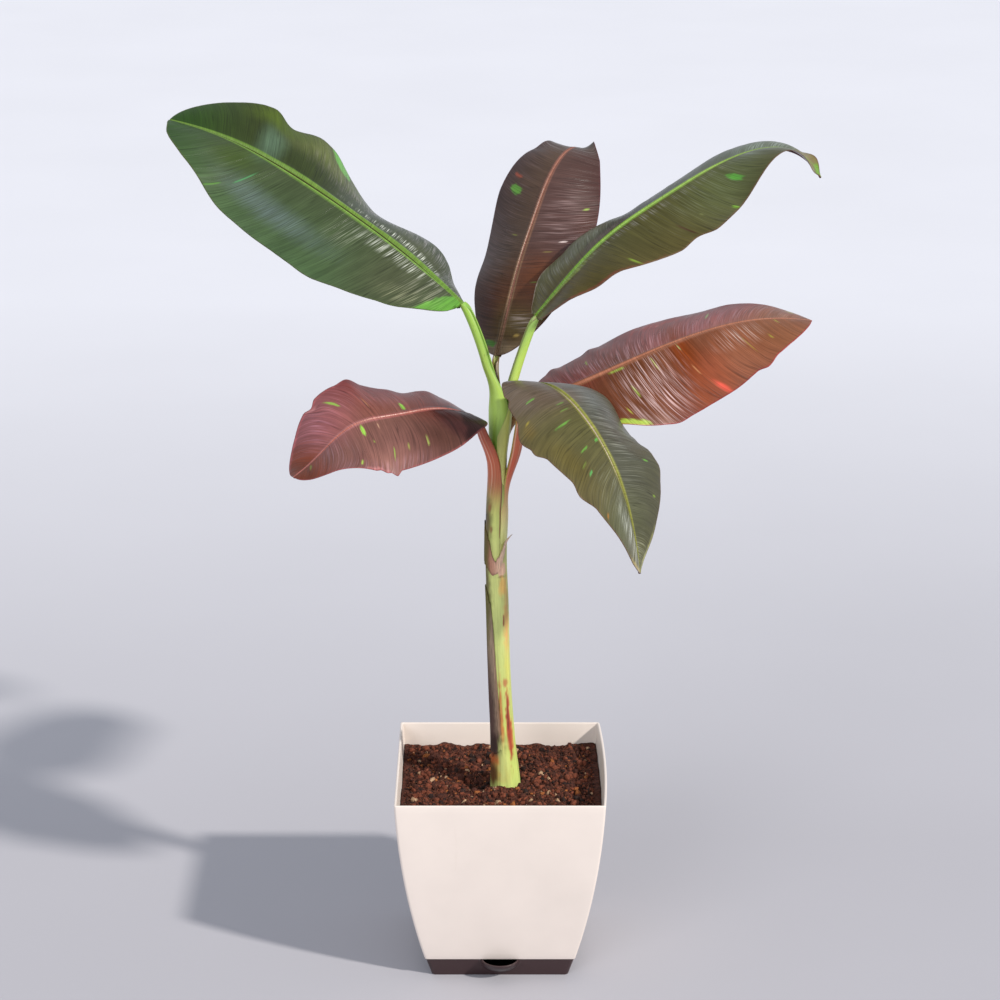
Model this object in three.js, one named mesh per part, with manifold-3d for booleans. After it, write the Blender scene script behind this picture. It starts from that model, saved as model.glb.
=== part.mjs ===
// A young red banana plant in a square planter that stands in its own drip tray.
// Millimetres, +Z up. The origin is the middle of the tray's underside, -Y is the front.

import * as THREE from "three";
import { mergeVertices } from "three/addons/utils/BufferGeometryUtils.js";
import Module from "manifold-3d";

const wasm = await Module();
wasm.setup();

// ---------------------------------------------------------------- sizes

const GAP = 0.3;                 // clearance wherever two pieces meet

const POT = {
  top: 250, foot: 182, height: 244,    // outside widths at the rim and the foot, rim height
  belly: 6,                            // how far each wall swells beyond a straight taper
  bow: 4,                              // how far the right-hand wall bends out at the rim
  wall: 3, floor: 3, corner: 3,
};

const TRAY = { top: 180, foot: 166, height: 24.5, wall: 2.5, corner: 5 };

const SPOUT = { width: 47, reach: 19, foot: 5, footWidth: 26 };   // half-round filler mouth

const SOIL_TOP = 212;

// Trunk of rolled leaf sheaths. The lists are read at even steps from the soil to the fork.
const STEM = {
  foot: SOIL_TOP + GAP, fork: 690,
  sway: [6.6, 4, 0.8, -1.5, -2.8, -4.6, -3.3, -2.9, 0.2],
  radius: [18.4, 14.6, 13.3, 13, 13, 12.6, 12, 9.8, 12.6],
  sides: 18, steps: 24,
};

// Dry scraps of old sheaths that still wrap the trunk. Angles are in degrees from +X,
// heights are of the lower and upper edge at even steps along the scrap.
const SCRAPS = {
  torn_collar: { from: 165, to: 325, low: [531, 514, 497, 508, 524], high: [548, 528, 509, 524, 552],
                 thick: 1.6, colour: 0x7a5244 },
  dry_sheath: { from: 150, to: 232, low: [292, 268, 262, 276], high: [404, 410, 398, 372],
                thick: 1.2, colour: 0x9a8570 },
};

// One entry per leaf. A leaf stalk leaves the trunk at `root` in the direction `lean` and
// ends where the blade begins. The midrib then walks on from `base`: `heading` is the
// compass angle from +X, `pitch` the climb, both in degrees at even steps along the blade.
// `left` and `right` give how far each half tilts above (+) or below (-) level at even
// steps, as seen by someone who looks from the stalk towards the tip. `half` is the half
// width, `widest` its place along the blade, `blunt` the roundness of the base and of the
// tip (smaller is blunter), and `sweep` the angle of the side veins at the base and tip.
// `lobes` are the bulges and notches of the margin: [side (-1 left, 1 right), place and
// half length as shares of the blade, how far the margin moves out, how far it moves up].
const LEAVES = {
  upper_left: {
    root: [-5.5, -3, STEM.fork], lean: [-0.04, 0, 1], reach: [60, 7], stalk: [7.2, 6.5, 5.8],
    base: [-43, 12, 819], length: 430, heading: [155, 155], pitch: [37.2, 29.8, 22.6, 7.6],
    half: 98, widest: 0.45, blunt: [0.42, 0.75], sweep: [-10, 25],
    left: [-7, -28, -40, -44, -18, -4], right: [-29, -8, -17, 11, 25, 27],
    lobes: [[1, 0.1, 0.05, -4, -3], [1, 0.55, 0.05, 4, 0], [1, 0.66, 0.07, -12, -6],
            [-1, 0.12, 0.06, 3, 0], [-1, 0.38, 0.12, 4, 0], [-1, 0.97, 0.04, -4, 0]],
    colour: 0x3f5b3a, stalkColour: 0x8fb552,
  },
  upper_right: {
    root: [6.4, 0, STEM.fork], lean: [0.16, -0.05, 1], reach: [45, 7], stalk: [7, 6.3, 5.6],
    base: [42, -10, 809], length: 418, heading: [15, 14], pitch: [49, 46, 31.5, 27, 4, -59],
    half: 75, widest: 0.47, blunt: [0.28, 1], sweep: [-10, 25],
    left: [-6, -1, -16, -14, -4, 12], right: [12, -3, -36, -35, 6, -35],
    lobes: [[-1, 0.1, 0.09, 2, 9], [-1, 0.38, 0.05, 0, -3], [-1, 0.66, 0.1, 0, 3],
            [-1, 0.95, 0.05, 3, 8], [1, 0.18, 0.08, 2, -6], [1, 0.47, 0.06, -4, 2]],
    colour: 0x4d5638, stalkColour: 0x9cbf58,
  },
  back: {
    root: [0, 7, STEM.fork], lean: [-0.1, 0.1, 1], reach: [25, 18], stalk: [5.6, 4.4, 4.2],
    base: [-4, 34, 749], length: 352, heading: [64, 60], pitch: [57, 61, 50, 46, 12, -62],
    half: 75, widest: 0.45, blunt: [0.62, 1.05], sweep: [-10, 20],
    left: [-25, -20, -28, -15, -8, -35], right: [15, 0, -18, -33, -30, 10],
    lobes: [[-1, 0.85, 0.08, 3, 13], [1, 0.9, 0.07, -12, 12]],
    colour: 0x4b3833, stalkColour: 0x7d7440,
  },
  right: {
    root: [2, 5, 636], lean: [0.1, 0.02, 1], reach: [45, 32], stalk: [5.5, 6, 5.6],
    base: [53, 24, 700], length: 334, heading: [12, 8], pitch: [20, 22, 13, -9],
    half: 95, widest: 0.42, blunt: [0.46, 0.86], sweep: [-20, 25],
    left: [5, 0, 0, -2, 0, -3], right: [-55, -27, -48, -43, -29, -8],
    lobes: [[-1, 0.13, 0.035, 4, 2], [-1, 0.27, 0.035, 4, 2], [-1, 0.86, 0.06, 3, 0],
            [1, 0.4, 0.05, 2, 0], [1, 0.74, 0.05, 5, 0]],
    colour: 0x7b4434, stalkColour: 0x9ba552,
  },
  front_left: {
    root: [-4, -3, 572], lean: [-0.12, -0.14, 1], reach: [62, 26], stalk: [8.5, 7.2, 5],
    base: [-39, -32, 699], length: 234, heading: [203, 211], pitch: [23, -2, -3, -38, -27],
    half: 74, widest: 0.5, blunt: [0.45, 0.78], sweep: [-38, 25],
    left: [6, -20, -36, -41, -2, -2], right: [-8, -3, 8, 21, 6, -13],
    lobes: [[1, 0.22, 0.06, 2, 3], [1, 0.32, 0.06, -4, -3], [1, 0.52, 0.05, 3, 4],
            [1, 0.67, 0.03, -7, 0], [-1, 0.535, 0.035, 5, 0], [-1, 0.63, 0.04, -3, 0]],
    colour: 0x6b3533, stalkColour: 0xa0553f,
  },
  front_right: {
    root: [3, -2, 572], lean: [0.3, -0.02, 1], reach: [72, 22], stalk: [6, 6.6, 5.4],
    base: [38, -30, 735], length: 294, heading: [-57, -21], pitch: [16, -24, -55, -73, -81],
    half: 86, widest: 0.4, blunt: [0.5, 0.88], sweep: [-15, 25],
    left: [-14, -17, -22, 2, 6, -10], right: [14, -2, -7, 7, 13, 12],
    lobes: [[1, 0.19, 0.025, -4, 0], [1, 0.35, 0.08, 10, -3], [1, 0.41, 0.03, 4, -2],
            [1, 0.58, 0.055, 9, 0], [-1, 0.4, 0.05, 8, 0], [-1, 0.49, 0.04, -7, 0],
            [-1, 0.61, 0.05, 4, 0], [-1, 0.8, 0.15, -3, 0]],
    colour: 0x5b563b, stalkColour: 0xa5553f,
  },
};

const BLADE = {
  steps: 28,                          // cross lines along a blade
  shares: [0.08, 0.3, 0.62, 1],       // where each cross line has points, as shares of a half
  slices: 4,                          // straight pieces that each span is walked in
  curl: 22,                           // how much further the margin droops than the inner blade
  thin: 0.0105,                       // thickness as a share of the length
  tip: 1.6,                           // half width of the blunt tip
};

const STALK = { sides: 12, steps: 12, flat: 0.86 };

// ---------------------------------------------------------------- materials

function matte(colour, roughness = 0.55) {
  return new THREE.MeshStandardMaterial({ color: colour, roughness, metalness: 0 });
}

const CREAM_PLASTIC = matte(0xf1e4dc, 0.42);
const BROWN_PLASTIC = matte(0x432e2e, 0.5);
const SOIL = matte(0x4a2f28, 1);
const STEM_SKIN = matte(0xa9b86c, 0.6);

// ---------------------------------------------------------------- small helpers

const radians = THREE.MathUtils.degToRad;
const lerp = THREE.MathUtils.lerp;
const vector = (xyz) => new THREE.Vector3(...xyz);

// Reads a list of values at share 0..1, on a smooth curve through its evenly spaced values.
function smooth(values, share) {
  const last = values.length - 1;
  const place = THREE.MathUtils.clamp(share, 0, 1) * last;
  const i = Math.min(Math.floor(place), last - 1);
  const w = place - i;
  const at = (k) => values[THREE.MathUtils.clamp(k, 0, last)];
  const slopeIn = (at(i + 1) - at(i - 1)) / 2;
  const slopeOut = (at(i + 2) - at(i)) / 2;
  const rise = at(i + 1) - at(i);
  return at(i) + slopeIn * w + (3 * rise - 2 * slopeIn - slopeOut) * w ** 2
    + (slopeIn + slopeOut - 2 * rise) * w ** 3;
}

// Turns points and triangles into a geometry whose faces point out.
function solid(points, triangles) {
  let volume = 0;
  const cross = new THREE.Vector3();
  for (const [a, b, c] of triangles) {
    volume += points[a].dot(cross.crossVectors(points[b], points[c]));
  }
  const turned = volume < 0 ? triangles.map(([a, b, c]) => [a, c, b]) : triangles;
  const geometry = new THREE.BufferGeometry().setFromPoints(points);
  geometry.setIndex(turned.flat());
  return geometry;
}

// Joins rings of equal length into a closed body with a flat fan over each end.
function loft(rings) {
  const count = rings[0].length;
  const points = rings.flat();
  const triangles = [];
  for (let r = 0; r + 1 < rings.length; r++) {
    for (let k = 0; k < count; k++) {
      const a = r * count + k;
      const b = r * count + (k + 1) % count;
      triangles.push([a, b, a + count], [b, b + count, a + count]);
    }
  }
  for (const [start, flip] of [[0, true], [points.length - count, false]]) {
    const ring = points.slice(start, start + count);
    const hub = points.length;
    const middle = ring.reduce((sum, p) => sum.add(p), new THREE.Vector3()).divideScalar(count);
    points.push(middle);
    for (let k = 0; k < count; k++) {
      const edge = [start + k, start + (k + 1) % count];
      triangles.push(flip ? [hub, edge[1], edge[0]] : [hub, ...edge]);
    }
  }
  return solid(points, triangles);
}

function toManifold(geometry) {
  const bare = geometry.clone();
  bare.deleteAttribute("normal");
  bare.deleteAttribute("uv");
  const merged = mergeVertices(bare, 1e-5);
  return new wasm.Manifold(new wasm.Mesh({
    numProp: 3,
    vertProperties: new Float32Array(merged.attributes.position.array),
    triVerts: new Uint32Array(merged.index.array),
  }));
}

// The largest body of a cut is kept, so a loose sliver is dropped.
function fromManifold(body) {
  const pieces = body.decompose();
  const kept = pieces.reduce((big, piece) => (piece.volume() > big.volume() ? piece : big));
  const mesh = kept.getMesh();
  const geometry = new THREE.BufferGeometry();
  geometry.setAttribute("position", new THREE.BufferAttribute(mesh.vertProperties, 3));
  geometry.setIndex(new THREE.BufferAttribute(mesh.triVerts, 1));
  return geometry;
}

function cut(geometry, tools) {
  let body = toManifold(geometry);
  for (const tool of tools) body = body.subtract(toManifold(tool));
  return fromManifold(body);
}

function ellipse(centre, across, deep, sides, right, forward) {
  const ring = [];
  for (let k = 0; k < sides; k++) {
    const turn = (2 * Math.PI * k) / sides;
    ring.push(centre.clone()
      .addScaledVector(right, across * Math.cos(turn))
      .addScaledVector(forward, deep * Math.sin(turn)));
  }
  return ring;
}

const X = new THREE.Vector3(1, 0, 0);
const Y = new THREE.Vector3(0, 1, 0);
const Z = new THREE.Vector3(0, 0, 1);

// ---------------------------------------------------------------- planter, tray and soil

// A square ring with rounded corners. The right-hand side may bow out.
function squareRing(half, corner, z, bow = 0) {
  const CORNER_STEPS = 3;
  const SIDE_STEPS = 4;
  const ring = [];
  for (let side = 0; side < 4; side++) {
    const turn = (side * Math.PI) / 2;
    const straight = half - corner;
    for (let k = 0; k < SIDE_STEPS; k++) {
      const y = lerp(-straight, straight, k / SIDE_STEPS);
      const out = side === 0 ? bow * (1 - (y / straight) ** 2) : 0;
      ring.push(new THREE.Vector3(half + out, y, z).applyAxisAngle(Z, turn));
    }
    for (let k = 0; k < CORNER_STEPS; k++) {
      const angle = (k / CORNER_STEPS) * (Math.PI / 2);
      const x = straight + corner * Math.cos(angle);
      const y = straight + corner * Math.sin(angle);
      ring.push(new THREE.Vector3(x, y, z).applyAxisAngle(Z, turn));
    }
  }
  return ring;
}

const POT_FOOT = TRAY.height + GAP;

function potRing(z, inset) {
  const share = (z - POT_FOOT) / (POT.height - POT_FOOT);
  const half = lerp(POT.foot, POT.top, share) / 2 + POT.belly * 4 * share * (1 - share) - inset;
  return squareRing(half, POT.corner, z, POT.bow * share ** 2);
}

function levels(low, high, count) {
  return Array.from({ length: count + 1 }, (_, k) => lerp(low, high, k / count));
}

function potGeometry() {
  const RIM_ROUND = 0.8;
  const outside = levels(POT_FOOT, POT.height - RIM_ROUND, 8).map((z) => potRing(z, 0));
  const rim = [RIM_ROUND, POT.wall - RIM_ROUND].map((inset) => potRing(POT.height, inset));
  const inside = levels(POT_FOOT + POT.floor, POT.height - RIM_ROUND, 8)
    .map((z) => potRing(z, POT.wall)).reverse();
  return loft([...outside, ...rim, ...inside]);
}

function soilGeometry() {
  const low = POT_FOOT + POT.floor + GAP;
  return loft(levels(low, SOIL_TOP, 7).map((z) => potRing(z, POT.wall + GAP)));
}

function trayHalf(z) {
  return lerp(TRAY.foot, TRAY.top, z / TRAY.height) / 2;
}

// One level of the filler mouth, an ellipse that bulges out of the tray's front wall.
function spoutRing(z, inset) {
  const SIDES = 28;
  const share = THREE.MathUtils.clamp((z - SPOUT.foot) / (TRAY.height - SPOUT.foot), 0, 1);
  const swell = Math.sin((share * Math.PI) / 2);
  const across = lerp(SPOUT.footWidth, SPOUT.width, swell) / 2 - inset;
  const deep = lerp(TRAY.wall + 2, SPOUT.reach + TRAY.wall + 2, swell) - inset;
  const centre = new THREE.Vector3(0, TRAY.wall + 2 - trayHalf(z), z);
  return ellipse(centre, across, deep, SIDES, X, Y);
}

function trayGeometry() {
  const OVER = 5;                                   // how far the cutting bodies overshoot
  const shell = loft(levels(0, TRAY.height, 2).map((z) => squareRing(trayHalf(z), TRAY.corner, z)));
  const mouth = loft(levels(SPOUT.foot, TRAY.height, 6).map((z) => spoutRing(z, 0)));
  const well = loft(levels(TRAY.wall, TRAY.height + OVER, 2)
    .map((z) => squareRing(trayHalf(z) - TRAY.wall, TRAY.corner - TRAY.wall / 2, z)));
  const mouthWell = loft(levels(SPOUT.foot + TRAY.wall, TRAY.height + OVER, 6)
    .map((z) => spoutRing(z, TRAY.wall)));
  const body = toManifold(shell).add(toManifold(mouth))
    .subtract(toManifold(well)).subtract(toManifold(mouthWell));
  return fromManifold(body);
}

// ---------------------------------------------------------------- trunk and sheath scraps

function stemCentre(z) {
  const share = (z - STEM.foot) / (STEM.fork - STEM.foot);
  return new THREE.Vector3(smooth(STEM.sway, share), 0, z);
}

function stemRadius(z) {
  return smooth(STEM.radius, (z - STEM.foot) / (STEM.fork - STEM.foot));
}

function stemGeometry(grow = 0) {
  const rings = levels(STEM.foot, STEM.fork, STEM.steps).map((z) => {
    const radius = stemRadius(z) + grow;
    return ellipse(stemCentre(z), radius, radius * 0.96, STEM.sides, X, Y);
  });
  if (grow > 0) rings.push(rings.at(-1).map((p) => p.clone().addScaledVector(Z, grow)));
  return loft(rings);
}

// A thin curved patch that hugs the trunk, closed on all sides.
function scrapGeometry(scrap) {
  const STEPS = 12;
  const ROWS = 4;
  const CLEAR = 0.7;
  const points = [];
  for (const grow of [CLEAR, CLEAR + scrap.thick]) {
    for (let i = 0; i <= STEPS; i++) {
      const share = i / STEPS;
      const turn = radians(lerp(scrap.from, scrap.to, share));
      for (let j = 0; j <= ROWS; j++) {
        const z = lerp(smooth(scrap.low, share), smooth(scrap.high, share), j / ROWS);
        const out = new THREE.Vector3(Math.cos(turn), Math.sin(turn), 0);
        points.push(stemCentre(z).addScaledVector(out, stemRadius(z) + grow));
      }
    }
  }
  return solid(points, sheetTriangles(STEPS, ROWS));
}

// Triangles of two equal grids, one behind the other, joined round their edge.
function sheetTriangles(rows, columns) {
  const width = columns + 1;
  const back = (rows + 1) * width;
  const triangles = [];
  for (let i = 0; i < rows; i++) {
    for (let j = 0; j < columns; j++) {
      const a = i * width + j;
      const [b, c, d] = [a + 1, a + width, a + width + 1];
      triangles.push([a, b, c], [b, d, c]);
      triangles.push([a + back, c + back, b + back], [b + back, c + back, d + back]);
    }
  }
  const edge = [];
  for (let j = 0; j < columns; j++) edge.push(j);
  for (let i = 0; i < rows; i++) edge.push(i * width + columns);
  for (let j = columns; j > 0; j--) edge.push(rows * width + j);
  for (let i = rows; i > 0; i--) edge.push(i * width);
  edge.forEach((a, k) => {
    const b = edge[(k + 1) % edge.length];
    triangles.push([b, a, a + back], [b, a + back, b + back]);
  });
  return triangles;
}

// ---------------------------------------------------------------- leaves

function direction(heading, pitch) {
  const level = Math.cos(radians(pitch));
  return new THREE.Vector3(
    level * Math.cos(radians(heading)),
    level * Math.sin(radians(heading)),
    Math.sin(radians(pitch)),
  );
}

function ribDirection(leaf, share) {
  return direction(smooth(leaf.heading, share), smooth(leaf.pitch, share));
}

// The midrib as a list of frames: the point, the way along, the right-hand side and up.
function walkRib(leaf) {
  const step = leaf.length / BLADE.steps;
  const point = vector(leaf.base).addScaledVector(ribDirection(leaf, 0), GAP);
  const frames = [];
  for (let i = 0; i <= BLADE.steps; i++) {
    const share = i / BLADE.steps;
    const along = ribDirection(leaf, share);
    const right = along.clone().cross(Z).normalize();
    frames.push({ share, point: point.clone(), along, right, up: right.clone().cross(along) });
    point.addScaledVector(ribDirection(leaf, share + 0.5 / BLADE.steps), step);
  }
  return frames;
}

function halfWidth(leaf, share) {
  const inBase = share < leaf.widest;
  const away = inBase ? 1 - share / leaf.widest : (share - leaf.widest) / (1 - leaf.widest);
  const round = Math.max(0, 1 - away ** 2) ** leaf.blunt[inBase ? 0 : 1];
  return Math.max(leaf.half * round, lerp(leaf.stalk[2], BLADE.tip, share));
}

// How far the lobes and notches of one margin move it out and up at a place along the blade.
function lobeShift(leaf, share, side) {
  let [out, up] = [0, 0];
  for (const [lobeSide, centre, reach, lobeOut, lobeUp] of leaf.lobes) {
    if (lobeSide !== side) continue;
    const cover = 1 - THREE.MathUtils.smoothstep(Math.abs(share - centre) / reach, 0, 1);
    out += cover * lobeOut;
    up += cover * lobeUp;
  }
  return [out, up];
}

// Points of one cross line, from next to the midrib out to the margin.
function halfLine(leaf, frame, side) {
  const half = halfWidth(leaf, frame.share);
  const tilts = side > 0 ? leaf.right : leaf.left;
  const tilt = smooth(tilts, frame.share);
  const lag = Math.tan(radians(lerp(...leaf.sweep, frame.share)));
  const [out, up] = lobeShift(leaf, frame.share, side);
  const point = frame.point.clone();
  const line = [];
  let done = 0;
  for (const share of BLADE.shares) {
    const slice = (share - done) / BLADE.slices;
    for (let k = 0; k < BLADE.slices; k++) {
      const at = done + (k + 0.5) * slice;
      const angle = radians(tilt + BLADE.curl * (0.5 - at));
      point.addScaledVector(frame.right, side * half * slice * Math.cos(angle))
        .addScaledVector(frame.up, half * slice * Math.sin(angle))
        .addScaledVector(frame.along, half * slice * lag);
    }
    const slope = radians(tilt + BLADE.curl * (0.5 - share));
    line.push(point.clone()
      .addScaledVector(frame.right, side * out * share * Math.cos(slope))
      .addScaledVector(frame.up, out * share * Math.sin(slope) + up * share ** 2));
    done = share;
  }
  return line;
}

function bladeGeometry(leaf) {
  const columns = 2 * BLADE.shares.length;
  const top = [];
  for (const frame of walkRib(leaf)) {
    const left = halfLine(leaf, frame, -1);
    const right = halfLine(leaf, frame, 1);
    top.push(...left.reverse(), frame.point, ...right);
  }
  const sheet = new THREE.BufferGeometry().setFromPoints(top);
  const triangles = sheetTriangles(BLADE.steps, columns);
  const face = triangles.filter((t) => t.every((k) => k < top.length));
  sheet.setIndex(face.flat());
  sheet.computeVertexNormals();
  const normals = sheet.attributes.normal;
  const under = top.map((point, k) => {
    const share = Math.floor(k / (columns + 1)) / BLADE.steps;
    const fromRib = Math.abs((k % (columns + 1)) - BLADE.shares.length);
    const ribDepth = lerp(leaf.stalk[2] * 1.6, leaf.length * BLADE.thin, share);
    const depth = fromRib === 0 ? ribDepth : leaf.length * BLADE.thin;
    const down = new THREE.Vector3().fromBufferAttribute(normals, k);
    if (down.z > 0) down.negate();
    return point.clone().addScaledVector(down, depth);
  });
  return solid([...top, ...under], triangles);
}

// The leaf stalk, an oval limb that starts inside the trunk's skin and ends at the blade.
function stalkGeometry(leaf, grow = 0) {
  const root = vector(leaf.root);
  const base = vector(leaf.base);
  const lean = vector(leaf.lean).normalize();
  const end = ribDirection(leaf, 0);
  const path = new THREE.CubicBezierCurve3(
    root,
    root.clone().addScaledVector(lean, leaf.reach[0]),
    base.clone().addScaledVector(end, -leaf.reach[1]),
    base,
  );
  const rings = [];
  for (let i = 0; i <= STALK.steps; i++) {
    const share = i / STALK.steps;
    const along = path.getTangent(share);
    const right = along.clone().cross(end.clone().cross(Z).cross(end)).normalize();
    const up = right.clone().cross(along);
    const radius = smooth(leaf.stalk, share) + grow;
    const centre = path.getPoint(share);
    rings.push(ellipse(centre, radius, radius * STALK.flat, STALK.sides, right, up));
  }
  if (grow > 0) {
    rings.unshift(rings[0].map((p) => p.clone().addScaledVector(lean, -grow)));
    rings.push(rings.at(-1).map((p) => p.clone().addScaledVector(end, grow)));
  }
  return loft(rings);
}

// ---------------------------------------------------------------- assembly

const plant = new THREE.Group();

function place(name, geometry, material) {
  const mesh = new THREE.Mesh(geometry, material);
  mesh.name = name;
  plant.add(mesh);
}

place("drip_tray", trayGeometry(), BROWN_PLASTIC);
place("pot", potGeometry(), CREAM_PLASTIC);
place("soil", soilGeometry(), SOIL);
place("pseudostem", stemGeometry(), STEM_SKIN);
for (const [name, scrap] of Object.entries(SCRAPS)) {
  place(name, scrapGeometry(scrap), matte(scrap.colour, 0.9));
}

// Each stalk is cut clear of the trunk and of the stalks that wrap it, each blade of the stalks.
const limbs = [stemGeometry(GAP)];
for (const [name, leaf] of Object.entries(LEAVES)) {
  place(`stalk_${name}`, cut(stalkGeometry(leaf), limbs), matte(leaf.stalkColour));
  limbs.push(stalkGeometry(leaf, GAP));
}
for (const [name, leaf] of Object.entries(LEAVES)) {
  place(`leaf_${name}`, cut(bladeGeometry(leaf), limbs), matte(leaf.colour, 0.45));
}

export default plant;
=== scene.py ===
"""A young red banana plant in a square planter that stands in its own drip tray.

Sizes are in millimetres, as in the part's source; mesh_object() turns them into metres.
The plant grows at the origin, +Z is up and -Y is the front.
"""

import math

import bpy
import numpy as np
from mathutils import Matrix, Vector


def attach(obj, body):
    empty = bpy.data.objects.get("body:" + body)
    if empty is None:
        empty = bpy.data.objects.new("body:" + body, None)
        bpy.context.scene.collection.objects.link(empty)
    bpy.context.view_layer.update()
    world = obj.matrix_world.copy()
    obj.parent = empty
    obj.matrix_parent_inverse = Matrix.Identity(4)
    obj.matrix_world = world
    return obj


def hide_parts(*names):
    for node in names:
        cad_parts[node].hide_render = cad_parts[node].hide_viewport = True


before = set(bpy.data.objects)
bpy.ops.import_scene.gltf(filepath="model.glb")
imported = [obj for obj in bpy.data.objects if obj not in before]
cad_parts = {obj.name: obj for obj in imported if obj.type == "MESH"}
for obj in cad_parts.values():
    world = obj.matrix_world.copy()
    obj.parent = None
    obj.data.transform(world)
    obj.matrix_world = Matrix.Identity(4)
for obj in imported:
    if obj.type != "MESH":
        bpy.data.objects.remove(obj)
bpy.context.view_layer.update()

MM = 0.001
GAP = 0.3                           # between two solids that stand on or in one another
SKIN_SCALE = 0.22                   # mm of the trunk's skin to one degree of turn
MAP_EDGE = 0.02                     # margin round a piece's flat map
COLOURS = ("Tint", "PaintedSheen")         # what a mesh stores as colours; the rest are vectors
SQUARISH = 2.4                      # outline of a patch of colour: 2 is an ellipse, more is squarer
Z_AXIS = np.array([0.0, 0.0, 1.0])

# ---------------------------------------------------------------- sizes shared with the solids

POT = {"top": 250, "foot": 182, "height": 244, "belly": 6, "bow": 4, "wall": 3, "floor": 3, "corner": 3}
TRAY = {"top": 180, "foot": 166, "height": 24.5, "wall": 2.5, "corner": 5}
SPOUT = {"width": 47, "reach": 19, "foot": 5, "foot_width": 26}
SOIL_TOP = 212
POT_FOOT = TRAY["height"] + GAP

STEM = {
    "foot": SOIL_TOP + GAP, "fork": 690,
    "sway": [6.6, 4, 0.8, -1.5, -2.8, -4.6, -3.3, -2.9, 0.2],
    "radius": [18.4, 14.6, 13.3, 13, 13, 12.6, 12, 9.8, 12.6],
    "flat": 0.96,
}

CURL = 22                 # how much further a margin droops than the inner blade, degrees
STALK_FLAT = 0.86

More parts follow.
